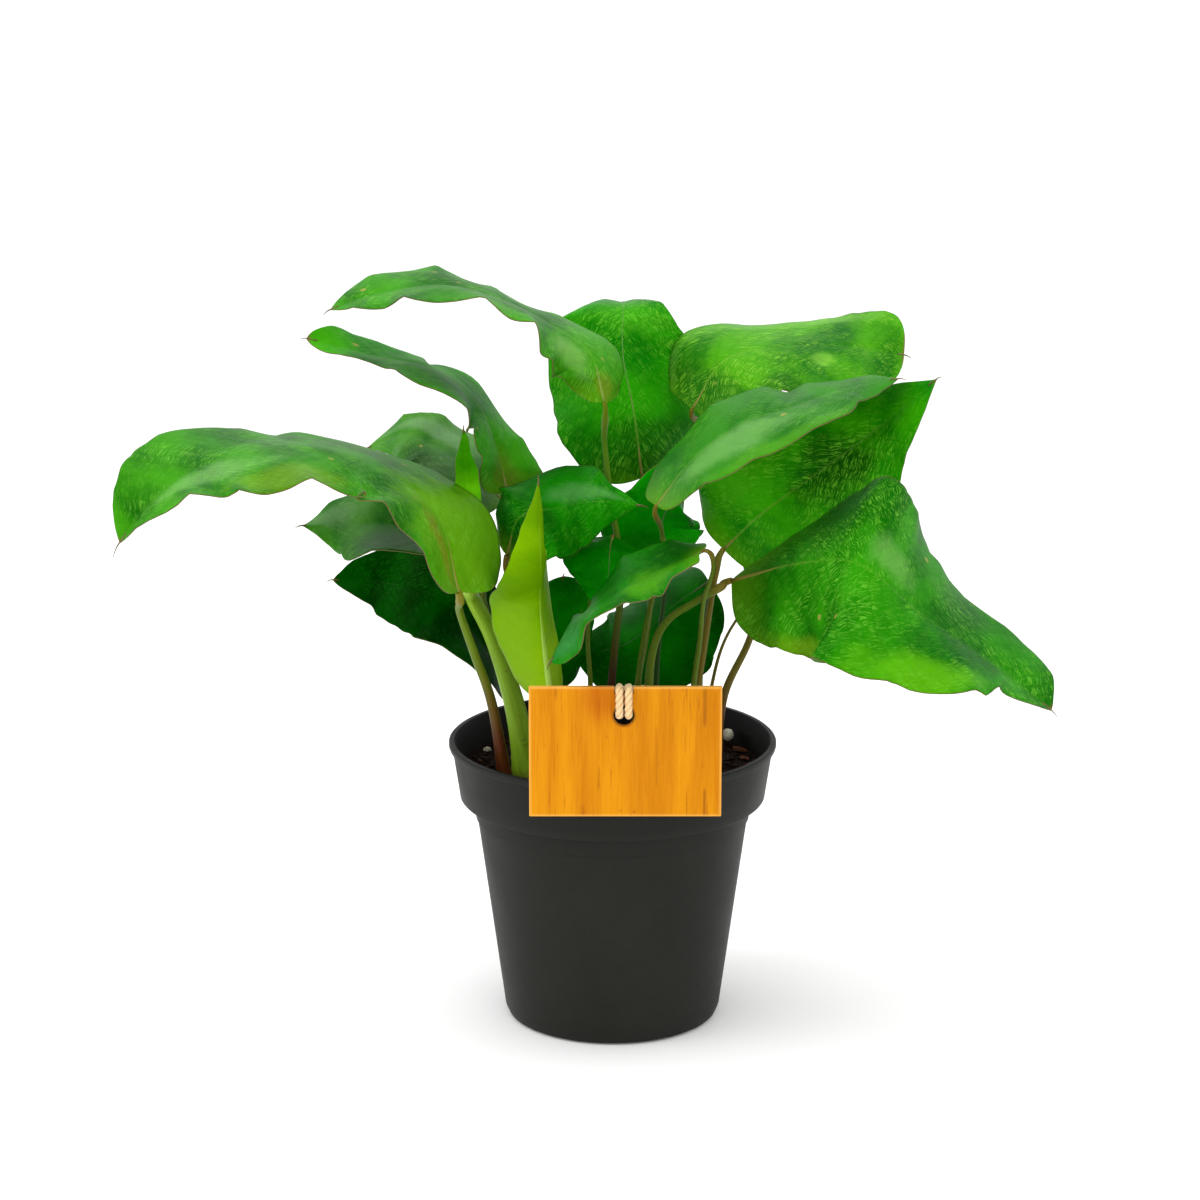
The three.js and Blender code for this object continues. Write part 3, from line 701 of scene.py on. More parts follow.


# The twenty leaves. Their shapes repeat the CAD's.
# Each leaf's zones lay painted sheen (pale grey greens) and painted shade (dark greens), along with yellower
# green patches, at fixed places on its face.
LEAVES = (
    LeafForm(
        name="far_left", half_width=38.5, droop=-3, cup_left=(11, 3, 32), cup_right=(16, -13, 28),
        stem_radius=2, taper=(0.85, 0.85), heel=5, hair=4.5, wave=(2, 0.4), stalk=Stalk.STOUT,
        midrib=((-53, -63, 176), (-61, -53, 202), (-85, -46, 218), (-109, -53, 225), (-137, -61, 221),
            (-154, -69, 212), (-167, -74, 196)),
        facing=((0.85, -0.4, -0.1), (0.55, -0.15, 0.75), (0.25, -0.05, 0.7), (-0.3, -0.45, 0.85),
            (-0.45, -0.5, 0.55)),
        stem=((-38, -24, 95), (-43, -27, 125), (-49, -31, 145), (-54, -35, 162)),
        zones=(
            Zone((0.35, 0.13), (1.3, 0.16), (92, 146, 8), 0.75),
            Zone((-0.3, 0.72), (0.3, 0.2), (118, 172, 92), 0.4),
            Zone((-0.75, 0.55), (0.35, 0.13), (104, 146, 10), 0.5),
            Zone((-0.25, 0.1), (0.16, 0.12), (120, 84, 30), 0.45),
        ),
    ),
    LeafForm(
        name="upper_left", half_width=25, droop=-7, cup_left=(23, -19, 32), cup_right=(19, 12, 6),
        stem_radius=1.5, taper=(0.65, 0.65), wave=(1.2, 0.7), tone=Tone.UPPER, stalk=Stalk.BROWN,
        midrib=((-38, 5, 196), (-42, 10, 212), (-49, 12, 228), (-64, 6, 241), (-85, 6, 246), (-109, 1, 253)),
        facing=((0.3, -0.5, 0.05), (0.9, 0.1, 0.45), (-0.1, 0.15, 0.9), (0.05, -0.4, 0.35)),
        stem=((-23, -2, 95), (-28, 0, 127), (-35, 3, 156), (-38, 2, 179)),
        zones=(Zone((0, 0.1), (0.5, 0.12), (96, 78, 28), 0.4),),
    ),
    LeafForm(
        name="top_left", half_width=29, droop=-15, cup_left=(-5, 9, 14), cup_right=(-11, 4, 14),
        stem_radius=1.6, taper=(0.95, 0.95), shoulder=(0.5, 0.5), heel=4, hair=3, wave=(1.8, 0.7),
        stalk=Stalk.TALL,
        midrib=((-3, -14, 233), (-8, -7, 249), (-22, -4, 259), (-39, -6, 268), (-60, -10, 274),
            (-83, -12, 271), (-99, -15, 266)),
        facing=((0.65, -0.65, 0.3), (0.1, -0.1, 0.9), (-0.15, -0.1, 0.95), (-0.3, -0.3, 0.9)),
        stem=((-4, -1, 95), (-1, -1, 120), (1, -1, 142), (3, 0, 161), (2, -1, 178), (-1, -3, 197),
            (-3, -3, 217)),
        zones=(
            Zone((-0.4, 0.2), (0.35, 0.14), (124, 168, 88), 0.45),
            Zone((0.2, 0.05), (0.5, 0.06), (120, 120, 20), 0.4),
        ),
    ),
    LeafForm(
        name="top_middle", half_width=33, droop=-19, cup_left=(-5, -30, 28), cup_right=(-13, -7, 31),
        stem_radius=1.3, taper=(1.2, 1.2), shoulder=(0.4, 0.2), heel=8, tone=Tone.BACKDROP,
        midrib=((11, 30, 196), (8, 32, 220), (4, 39, 240), (4, 50, 256), (4, 77, 254)),
        facing=((0.4, -0.85, 0.25), (0.2, -1, 0), (-0.05, 0.1, 1)),
        stem=((8, 10, 95), (9, 11, 120), (12, 13, 137), (14, 16, 153), (14, 20, 175)),
        zones=(
            Zone((0, 0.1), (1.1, 0.16), (0, 76, 0), 0.75),
            Zone((0.1, 0.72), (0.9, 0.14), (66, 148, 20), 0.35),
        ),
    ),
    LeafForm(
        name="top_right", half_width=30.5, droop=-14, cup_left=(0, 0, 7), cup_right=(18, -1, 16),
        stem_radius=1.5, taper=(0.32, 0.45), shoulder=(0.12, 0.2), wave=(0.3, 1.4), tone=Tone.BRIGHT,
        stalk=Stalk.BROWN,
        midrib=((29, 19, 224), (41, 21, 242), (65, 25, 246), (88, 24, 246), (106, 24, 243)),
        facing=((-0.7, -0.45, 0.2), (0.25, -0.15, 0.65), (0.05, -0.3, 0.95), (0, -0.55, 0.55)),
        stem=((38, 2, 95), (41, 4, 120), (51, 10, 142), (55, 20, 167), (49, 32, 195), (34, 32, 214)),
        zones=(
            Zone((0.1, 0.06), (1.2, 0.15), (0, 80, 2), 0.8),
            Zone((0.85, 0.42), (0.3, 0.16), (0, 76, 0), 0.75),
            Zone((-0.85, 0.5), (0.2, 0.5), (110, 170, 70), 0.4),
            Zone((0.35, 0.62), (0.2, 0.06), (140, 200, 70), 0.3),
        ),
    ),
    LeafForm(
        name="right_arching", half_width=25.5, droop=-14, cup_left=(-1, 23, -7), cup_right=(18, -15, 10),
        stem_radius=1.3, taper=(0.9, 0.9), heel=1, wave=(0.8, 0.5), tone=Tone.GLOSSY,
        midrib=((15, -39, 201), (27, -35, 216), (44, -36, 229), (64, -35, 236), (81, -30, 241),
            (99, -29, 244)),
        facing=((-0.4, -0.25, 0.55), (-0.65, -0.05, 0.75), (-0.15, 0.1, 0.75), (-0.05, -0.3, 0.75)),
        stem=((7, -10, 95), (9, -11, 126), (11, -13, 144), (14, -16, 161), (18, -22, 177), (17, -28, 190)),
        zones=(
            Zone((0.35, 0.35), (0.4, 0.3), (108, 162, 84), 0.5),
            Zone((0.9, 0.5), (0.2, 0.4), (70, 140, 10), 0.5),
        ),
    ),
    LeafForm(
        name="right_inner", half_width=32.5, droop=-17, cup_left=(16, 30, 0), cup_right=(0, 0, 0),
        stem_radius=1.7, taper=(1.05, 1.05), tone=Tone.INNER, stalk=Stalk.BROWN,
        midrib=((40, 0, 176), (53, 3, 188), (73, 15, 200), (95, 22, 215), (117, 14, 236)),
        facing=((-0.5, -0.35, 0.75), (-0.2, -0.65, 0.75), (-0.45, -0.55, 0.6)),
        stem=((30, -6, 95), (31, -7, 125), (33, -8, 141), (35, -9, 156), (37, -10, 169)),
        zones=(
            Zone((-0.6, 0.25), (0.5, 0.25), (52, 138, 8), 0.6),
            Zone((0.1, 0.58), (0.55, 0.2), (0, 56, 2), 0.85),
            Zone((0.95, 0.25), (0.25, 0.25), (104, 116, 22), 0.55),
        ),
    ),
    LeafForm(
        name="right_large", half_width=36.5, droop=-18, cup_left=(-30, -3, 31), cup_right=(-16, 6, 19),
        stem_radius=1.9, taper=(0.75, 0.75), shoulder=(0.3, 0.3), heel=7, wave=(0.7, 1.7), tone=Tone.DEEP,
        midrib=((42, -26, 171), (65, -49, 183), (84, -68, 187), (105, -64, 169), (132, -58, 149),
            (151, -67, 135)),
        facing=((-0.6, -0.5, 0.55), (0.2, -0.2, 0.05), (0.2, -0.1, 0.95)),
        stem=((13, -18, 95), (13, -19, 129), (15, -20, 146), (20, -23, 156), (29, -26, 163), (38, -28, 169)),
        zones=(
            Zone((-0.25, 0.48), (0.22, 0.09), (112, 164, 82), 0.45),
            Zone((0.85, 0.62), (0.35, 0.14), (84, 160, 4), 0.65),
            Zone((-0.6, 0.28), (0.5, 0.14), (0, 76, 0), 0.7),
            Zone((0.95, 0.22), (0.2, 0.15), (108, 146, 12), 0.5),
        ),
    ),
    LeafForm(
        name="centre_left", half_width=19, droop=-29, cup_left=(-13, 7, -5), cup_right=(-14, -5, -9),
        stem_radius=1.5, taper=(1.2, 1.2), shoulder=(0.3, 0.3), heel=6, wave=(0.8, 0.6), tone=Tone.MIDDLE,
        midrib=((-38, -13, 177), (-33, -21, 193), (-18, -15, 195), (-5, -23, 199), (10, -21, 197)),
        facing=((-0.5, -0.75, 0.05), (-0.6, -0.6, 0.45), (0.25, -0.85, 0.45)),
        stem=((-20, -13, 95), (-22, -13, 127), (-30, -13, 153), (-37, -12, 168)),
        zones=(
            Zone((-0.3, 0.7), (0.3, 0.25), (92, 146, 84), 0.45),
            Zone((0.4, 0.25), (0.6, 0.25), (0, 74, 2), 0.6),
        ),
    ),
    LeafForm(
        name="centre_low", half_width=26, droop=-17, cup_left=(10, 15, -4), cup_right=(10, 6, -13),
        stem_radius=1.2, taper=(0.7, 0.7), shoulder=(0.04, 0.35), heel=3, wave=(0.9, 0.9), tone=Tone.MIDDLE,
        midrib=((31, -52, 188), (15, -49, 180), (2, -50, 173), (-12, -53, 163), (-22, -52, 148)),
        facing=((0.5, -0.1, 0.85), (-0.5, -0.1, 0.3), (-0.55, 0, -0.6)),
        stem=((27, -14, 95), (29, -16, 128), (31, -23, 148), (32, -32, 165), (35, -39, 179)),
        zones=(
            Zone((-0.4, 0.3), (0.6, 0.22), (78, 150, 4), 0.6),
            Zone((0, 0.85), (0.9, 0.16), (66, 130, 84), 0.45), Zone((0.6, 0.5), (0.5, 0.3), (0, 84, 2), 0.6),
        ),
    ),
    LeafForm(
        name="left_back", half_width=24.5, droop=-14, cup_left=(-2, 9, 6), cup_right=(11, 1, 7),
        stem_radius=1.5, taper=(1.25, 1.25), tone=Tone.GREYISH, stalk=Stalk.BROWN,
        midrib=((-40, 30, 187), (-53, 33, 199), (-66, 40, 206), (-77, 43, 210), (-92, 50, 203)),
        facing=((0.3, -0.2, 0.85), (-0.1, -0.1, 0.6), (-0.6, -0.5, 0.65)),
        stem=((-19, 4, 95), (-23, 5, 122), (-31, 8, 151), (-37, 12, 175)),
        zones=(
            Zone((-0.55, 0.5), (0.4, 0.25), (0, 62, 8), 0.8),
            Zone((0.45, 0.6), (0.3, 0.3), (124, 158, 116), 0.45),
        ),
    ),
    LeafForm(
        name="left_middle", half_width=28.5, droop=-12, cup_left=(32, 10, -12), cup_right=(-4, 24, -14),
        stem_radius=1.5, taper=(1.4, 1.4), shoulder=(0.3, 0.3), heel=1, tone=Tone.GREYISH,
        midrib=((-49, 1, 167), (-66, -1, 181), (-82, -4, 186), (-98, -2, 186), (-112, -5, 186)),
        facing=((0.75, -0.35, 0.55), (-0.1, -0.1, 0.5), (0, -0.55, 0.7)),
        stem=((-26, -5, 95), (-36, -4, 124), (-43, 0, 142), (-47, 5, 156)),
        zones=(
            Zone((0.35, 0.8), (0.5, 0.2), (112, 146, 100), 0.45),
            Zone((-0.6, 0.45), (0.4, 0.2), (0, 72, 4), 0.6),
        ),
    ),
    LeafForm(
        name="left_low", half_width=18.5, droop=0, cup_left=(-3, 39, 6), cup_right=(32, -16, 10),
        stem_radius=1.5, taper=(0.85, 0.85), wave=(0.4, 0.4), tone=Tone.SHADED, stalk=Stalk.DARK,
        slot="shaded_leaf",
        midrib=((-38, 23, 117), (-51, 10, 143), (-65, 13, 155), (-85, 23, 158), (-103, 19, 160)),
        facing=((0.95, -0.05, 0.3), (0, -0.6, 0), (0.15, -0.75, 0.65)),
        stem=((-34, 9, 95), (-36, 9, 110)),
    ),
    LeafForm(
        name="centre_dark", half_width=22.5, droop=-23, cup_left=(-41, 11, 19), cup_right=(-47, -7, 40),
        stem_radius=1.2, taper=(1.45, 1.45), heel=8, tone=Tone.DIM, stalk=Stalk.DARK, slot="shaded_leaf",
        midrib=((19, 4, 177), (18, 5, 185), (22, 9, 195), (22, 37, 202)),
        facing=((-0.2, -0.85, 0.05), (0.95, -0.15, 0.15)),
        stem=((16, 2, 95), (16, 3, 122), (17, 4, 141), (19, 6, 159)),
        zones=(Zone((0, 0.4), (0.6, 0.3), (2, 86, 4), 0.4),),
    ),
    LeafForm(
        name="centre_hanging", half_width=17.5, droop=-25, cup_left=(-10, -3, 4), cup_right=(-20, -4, 0),
        stem_radius=1.1, taper=(1, 1), heel=6, tone=Tone.HIDDEN, slot="shaded_leaf",
        midrib=((0, -9, 183), (-1, -17, 180), (-2, -22, 170), (-6, -27, 161)),
        facing=((0.2, -0.55, 0.8), (0.05, -0.85, 0.55)),
        stem=((-8, -6, 95), (-8, -6, 125), (-9, -6, 144), (-8, -5, 158), (-6, -4, 171), (-3, -6, 178)),
    ),
    LeafForm(
        name="behind_roll", half_width=18, droop=-36, cup_left=(-22, -19, 5), cup_right=(-24, -12, -1),
        stem_radius=1.4, taper=(0.75, 0.75), heel=4, tone=Tone.HIDDEN, stalk=Stalk.DARK, slot="shaded_leaf",
        midrib=((-21, 23, 116), (-22, 13, 133), (-20, 11, 149), (-18, 4, 165)),
        facing=((0, -0.95, -0.2), (0.25, -0.95, -0.2)),
        stem=((-16, 12, 95), (-19, 12, 112)),
    ),
    LeafForm(
        name="low_behind_stems", half_width=26.5, droop=-29, cup_left=(1, -5, -10), cup_right=(-9, -15, -6),
        stem_radius=1.3, taper=(0.9, 0.9), tone=Tone.LOW, stalk=Stalk.DARK, slot="shaded_leaf",
        midrib=((36, 33, 156), (23, 32, 147), (12, 30, 137), (-1, 28, 131), (-16, 33, 130)),
        facing=((-0.35, -0.6, 0.7), (-0.3, -0.7, 0.35)),
        stem=((31, 4, 95), (32, 4, 126), (33, 5, 141), (34, 13, 150)),
    ),
    LeafForm(
        name="right_back", half_width=21, droop=-14, cup_left=(4, 7, -3), cup_right=(14, 0, -4),
        stem_radius=0.8, taper=(1, 1), stalk=Stalk.BROWN,
        midrib=((55, 22, 157), (65, 27, 169), (76, 41, 182), (89, 56, 191)),
        facing=((-0.35, -0.45, 0.8), (-0.05, -0.65, 0.7)),
        stem=((32, 14, 95), (39, 17, 130), (47, 21, 146), (53, 22, 152)),
    ),
    LeafForm(
        name="folded_young", half_width=6.5, droop=-18, cup_left=(41, 37, 33), cup_right=(38, 37, 33),
        stem_radius=4.2, taper=(1.05, 1.05), hair=2, wave=(0.1, 0.1), tone=Tone.SPEAR, stalk=Stalk.PALE,
        midrib=((-51, -28, 172), (-52, -16, 187), (-52, -14, 205), (-53, -12, 223)),
        facing=((0.15, -0.8, 0.55), (0.05, -0.9, 0.15)),
        stem=((-30, -14, 95), (-36, -14, 123), (-43, -14, 146), (-50, -15, 161)),
        zones=(Zone((0, 0.2), (1.2, 0.3), (70, 126, 20), 0.5),),
    ),
    LeafForm(
        name="rolled_new", half_width=19.5, droop=-40, cup_left=(-47, -17, 13), cup_right=(-46, -26, 4),
        stem_radius=2.8, taper=(1.35, 1.35), shoulder=(0.1, 0.12), heel=3, hair=2, wave=(0.2, 0.2),
        tone=Tone.YOUNG, stalk=Stalk.PALE, slot="young_leaf",
        midrib=((-22, -44, 134), (-25, -42, 162), (-25, -53, 185), (-26, -41, 211)),
        facing=((0.15, -0.95, 0.15), (0.45, -0.5, -0.2), (0.65, -0.55, 0.2)),
        stem=((-22, -28, 95), (-21, -29, 120)),
        zones=(
            Zone((0.85, 0.5), (0.25, 0.5), (150, 196, 50), 0.5),
            Zone((-0.5, 0.25), (0.5, 0.2), (112, 158, 30), 0.4),
        ),
    ),
)


class LeafFinish:
    """Materials of leaves and stalks."""

    def __init__(self, effects: Effects) -> None:
        """Keeps the shared groups."""
        self.effects = effects

    def upper(self, form: LeafForm, seed: float) -> Material:
        """Upper side of a leaf: mosaic, midrib, warm base, brown tip and margin, painted sheen and shade
        zones, waxy sheen.

        Args:
            form: The leaf.
            seed: Makes its pattern its own.

        Returns:
            The material.
        """
        tone, g = form.tone.value, Coat("leaf_face_" + form.name)
        place, spot = g.attribute("place"), g.attribute("spot")
        _, share, edge = g.split(spot)
        across, along, _ = g.split(place)
        pattern = g.group(self.effects.mosaic, Place=place, Seed=seed)
        cloud = g.noise(g.join(across, g.times(along, 1.6), seed), 0.032, 4.0)
        colour = g.mix(g.step(cloud, 0.35, 0.65), paint(*tone.deep), paint(*tone.fresh))
        warm = g.step(g.math("ADD", share, g.times(cloud, 0.1)), tone.warm_reach + 0.12, 0.02)
        colour = g.glaze(colour, warm, 0.7, tone.warm)
        ragged = g.noise(g.join(across, along, seed + 5), 0.09, 4.0, 0.6)
        # Painted sheen and painted shade: the zones lay pale grey greens and dark greens over the leaf, with
        # yellower green patches.
        for zone in form.zones:
            patch = g.group(self.effects.blotch, Place=spot, Centre=(*zone.at, 0.0), Size=(*zone.size, 1.0),
                            Noise=ragged, Strength=zone.strength)
            colour = g.mix(patch["Mask"], colour, paint(*zone.colour))
        colour = g.glaze(colour, pattern["Veins"], 0.06, tuple(c // 2 for c in tone.deep))
        show = g.line(pattern["Patches"], 0.7, 0.25)
        colour = g.glaze(colour, g.times(pattern["Rungs"], show), tone.mosaic, tone.rung)
        rib = g.times(g.step(g.math("ABSOLUTE", across), 0.85, 0.2), g.step(share, 0.6, 0.02, 0.04, 0.3))
        colour = g.mix(rib, colour, g.mix(0.5, paint(*tone.rung), paint(*tone.warm)))
        marks = g.group(self.effects.flecks, Place=g.join(across, along, seed), Speck_Size=5.0, Share=0.012)
        colour = g.glaze(colour, marks["Specks"], 0.7, (150, 140, 70))
        brown = paint(104, 74, 40)
        torn = g.line(g.noise(place, 0.25, 4.0), 0.014, edge)
        colour = g.mix(g.step(torn, 0.995, 1.006, 0.0, 0.55), colour, brown)
        colour = g.mix(g.step(share, 0.985, 0.999, 0.0, 0.85), colour, brown)
        quilt = g.bump(pattern["Ripple"], 0.00006)
        normal = g.bump(g.line(pattern["Rungs"], 0.5, g.noise(place, 1.7)), 0.00005, under=quilt)
        return g.done(colour, g.line(cloud, 0.14, tone.roughness - 0.07), normal,
                      Specular_IOR_Level=tone.specular, Specular_Tint=paint(176, 240, 130),
                      Sheen_Weight=tone.sheen, Sheen_Roughness=0.45, Sheen_Tint=paint(200, 226, 196))

    def under(self, form: LeafForm, seed: float) -> Material:
        """Underside of a leaf: paler and duller, with the mosaic showing faintly through.

        Args:
            form: The leaf.
            seed: Makes its pattern its own.

        Returns:
            The material.
        """
        tone, g = form.tone.value, Coat("leaf_back_" + form.name)
        place = g.attribute("place")
        pattern = g.group(self.effects.mosaic, Place=place, Seed=seed)
        back = paint(*tone.back)
        deep = g.mix(0.45, back, paint(*tone.deep))
        colour = g.mix(g.noise(place, 0.06), back, deep)
        colour = g.glaze(colour, pattern["Rungs"], tone.mosaic * 0.5, tone.rung)
        colour = g.mix(g.times(pattern["Veins"], 0.4), colour, deep)
        edge = g.split(g.attribute("spot"))[2]
        colour = g.mix(g.step(edge, 0.985, 1.0, 0.0, 0.5), colour, paint(110, 70, 50))
        ribs = g.math("SUBTRACT", 1.0, pattern["Ripple"])
        return g.done(colour, g.step(g.noise(place, 0.5), 0.2, 0.8, 0.5, 0.66), g.bump(ribs, 0.00022),
                      Specular_IOR_Level=0.15, Sheen_Weight=0.03)

    def rim(self) -> Material:
        """Cut edge of every blade: thin, dry and purple brown.

        Returns:
            The material.
        """
        g = Coat("leaf_rim")
        place = g.attribute("place")
        colour = g.mix(g.noise(place, 0.3, 4.0), paint(58, 84, 22), paint(112, 66, 44))
        return g.done(colour, g.step(g.noise(place, 1.0), 0.3, 0.7, 0.5, 0.7))

    def rib(self, form: LeafForm) -> Material:
        """Raised midrib under a blade: the stalk's colour fading into the leaf's.

        Args:
            form: The leaf.

        Returns:
            The material.
        """
        stalk, g = form.stalk.value, Coat("leaf_rib_" + form.name)
        place = g.attribute("place")
        colour = g.mix(g.step(g.split(place)[2], 0.0, 0.5), paint(*stalk.top), paint(*form.tone.value.back))
        streak = g.noise(place, 0.8, 4.0)
        colour = g.glaze(colour, streak, 0.4, stalk.middle)
        return g.done(colour, g.step(streak, 0.3, 0.7, 0.4, 0.55))

    def stalk(self, form: LeafForm, seed: float) -> Material:
        """Stalk: reddish brown sheath at the soil, ribbed green or brown above, swollen top.

        Args:
            form: The leaf that it carries.
            seed: Makes its streaks its own.

        Returns:
            The material.
        """
        tone, g = form.stalk.value, Coat("stalk_" + form.name)
        angle, along, share = g.split(g.attribute("place"))
        around = g.join(g.math("COSINE", angle), g.math("SINE", angle), seed)
        streaks = g.vector("ADD", g.vector("MULTIPLY", around, (2.6, 2.6, 1.0)),
                           g.join(0.0, 0.0, g.times(along, 0.03)))
        ridge = g.noise(streaks, 1.0, 4.0, 0.65)
        cloud = g.noise(g.join(along, seed), 0.06)
        colour = g.glaze(paint(*tone.middle), g.step(ridge, 0.42, 0.7), tone.blush, tone.foot)
        lift = g.math("ADD", share, g.line(cloud, 0.16, -0.08))
        colour = g.mix(g.step(lift, tone.foot_reach, tone.foot_reach * 0.3), colour, paint(*tone.foot))
        colour = g.mix(g.step(share, 0.86, 0.95), colour, paint(*tone.top))
        marks = g.group(self.effects.flecks, Place=g.join(g.times(angle, 1.6), along, seed), Speck_Size=1.6,
                        Share=0.14)
        colour = g.glaze(colour, marks["Specks"], 0.35, (60, 34, 20))
        shade = g.step(ridge, 0.3, 0.7, 0.72, 1.12)
        shading = g.node("CombineColor", {0: shade, 1: shade, 2: shade}).outputs[0]
        return g.done(g.mix(1.0, colour, shading, "MULTIPLY"), g.step(ridge, 0.3, 0.7, 0.36, 0.55),
                      g.bump(ridge, 0.00035), Specular_IOR_Level=0.14)


@dataclass
class Leaf:
    """One leaf: a thin blade with a midrib and a dry tip, and the stalk that carries it."""

    form: LeafForm
    finish: LeafFinish
    rim: Material
    seed: float
    thickness: float = 0.34
    rows_per_mm: float = 0.95
    columns: int = 30
    edge_least: float = 0.006
    swell: float = 0.5
    swell_size: float = 16.0
    notch: float = 0.9
    notch_size: float = 7.0
    wave_length: float = 21.0
    wave_shift: float = 1.3
    ripple: float = 0.035
    ripple_gap: float = 6.0
    groove: float = 0.18
    groove_width: float = 1.1
    rib_steps: int = 44
    rib_sides: int = 8
    rib_share: float = 0.42
    rib_end: float = 0.93
    rib_tip: float = 0.12
    hair_sides: int = 6
    hair_radii: Pair = (0.45, 0.1)
    stalk_sides: int = 14
    stalk_foot: float = 92.5
    stalk_taper: float = 0.45
    flare: Pair = (0.75, 9.0)
    knee: Point = (0.38, 0.93, 4.5)

    def outline(self, side: Rows, share: Rows) -> Rows:
        """Share of the half width along the blade.

        Args:
            side: Negative for the left half.
            share: 0 at the base to 1 at the tip.

        Returns:
            The shares, 1 at the widest place.
        """
        b = 2.4
        a, c = (np.where(side < 0, *pair) for pair in (self.form.shoulder, self.form.taper))
        peak = (a / (a + b * c)) ** (a / b) * (b * c / (a + b * c)) ** c
        t = np.clip(share, 1e-4, 1)
        return np.maximum(t**a * (1 - t**b) ** c / peak, np.where(share < 0.5, 0.03, self.edge_least))

    def axes(self, share: Rows) -> tuple[Rows, Rows, Rows, Rows]:
        """The frame that the blade is built on.

        Args:
            share: 0 at the base to 1 at the tip.

        Returns:
            Midrib points, headings, upper side directions and rightward directions.
        """
        midrib = self.form.midrib
        spot = spline(midrib, share)
        ahead, behind = (spline(midrib, np.clip(share + gap, 0, 1)) for gap in (1e-3, -1e-3))
        heading = unit(ahead - behind)
        up = spline(self.form.facing, share)
        up = unit(up - heading * np.sum(up * heading, 1)[:, None])
        return spot, heading, up, np.cross(heading, up)

    def surface(self, side: Rows, share: Rows) -> tuple[Rows, Rows]:
        """Points of the blade in millimetres.

        Args:
            side: -1 at the left margin, 0 on the midrib, 1 at the right margin.
            share: 0 at the base to 1 at the tip.

        Returns:
            The points, and their distance across from the midrib.
        """
        form = self.form
        spot, heading, up, right = self.axes(share)
        reach, sign = np.abs(side), np.where(side < 0, -1.0, 1.0)
        cup = np.where(side < 0, spline(form.cup_left, share)[:, 0], spline(form.cup_right, share)[:, 0])
        angle = np.radians(cup + form.droop * reach / 2)
        width = self.outline(side, share)
        length = reaches(form.midrib)[-1]
        notches = wander(np.stack([share * length / self.notch_size, sign * 3, share * 0], 1), self.seed)
        off = form.half_width * width * reach + self.notch * notches * reach**6 * np.minimum(1, width * 3)
        heel = (form.heel * width * (1 - share) ** 3 * reach**1.5)[:, None]
        points = spot + right * (sign * off * np.cos(angle))[:, None] - heading * heel
        points += up * (off * np.sin(angle))[:, None]
        ends = np.minimum(1, 6 * share) * np.minimum(1, 5 * (1 - share))
        waves = max(5, round(length / self.wave_length))
        phase = math.pi * waves * share + np.where(side < 0, self.wave_shift, 0.0)
        wave = np.where(side < 0, *form.wave) * reach**2.5 * (1 - 2 * np.abs(np.sin(phase))) * ends
        size = self.swell_size
        fold = wander(np.stack([share * length / size, sign * off / size, share * 0], 1), self.seed + 40)
        lateral = (VEIN_RUN * share * length - VEIN_LEAN * off - VEIN_BEND * off**2) / self.ripple_gap
        ripple = self.ripple * np.cos(2 * math.pi * lateral) * smooth_step(reach, 0.04, 0.2)
        groove = self.groove * np.exp(-((off / self.groove_width) ** 2)) * smooth_step(1 - share, 0.0, 0.25)
        lift = wave + self.swell * fold * smooth_step(reach, 0.0, 0.35) * ends - groove
        lift += ripple * smooth_step(1 - share, 0.02, 0.1)
        return points + up * lift[:, None], sign * off

    def blade(self) -> Piece:
        """Blade with thickness, raised midrib below and a dry hair at the tip.

        Returns:
            The finished piece.
        """
        form, finish = self.form, self.finish
        length = reaches(form.midrib)[-1]
        rows = int(max(60, length * self.rows_per_mm))
        columns = 2 * round(self.columns * min(1, 0.4 + form.half_width / 50) / 2)
        bm = bmesh.new()
        place, spot = (bm.verts.layers.float_vector.new(name) for name in ("place", "spot"))
        bmesh.ops.create_grid(bm, x_segments=columns, y_segments=rows, size=1)
        flat = np.array([v.co[:] for v in bm.verts], float)
        side = 0.7 * flat[:, 0] + 0.3 * np.sin(flat[:, 0] * math.pi / 2)
        share = 0.5 - 0.5 * np.cos(math.pi * (flat[:, 1] + 1) / 2)
        points, across = self.surface(side, share)
        for vert, point, u, t, x in zip(bm.verts, points * MM, side, share, across):
            vert.co = point
            vert[place] = (x, t * length, self.seed)
            vert[spot] = (u, t, abs(u))
        materials = [finish.upper(form, self.seed), finish.under(form, self.seed), self.rim, finish.rib(form)]
        piece = finish_mesh(bm, "blade_" + form.name, materials, 180)
        shell = piece.modifiers.new("thickness", "SOLIDIFY")
        shell.thickness, shell.offset = self.thickness * MM, -1.0
        shell.material_offset, shell.material_offset_rim = 1, 2
        self.add_rib(applied(piece))
        return carried(piece, "leaf_" + form.name)

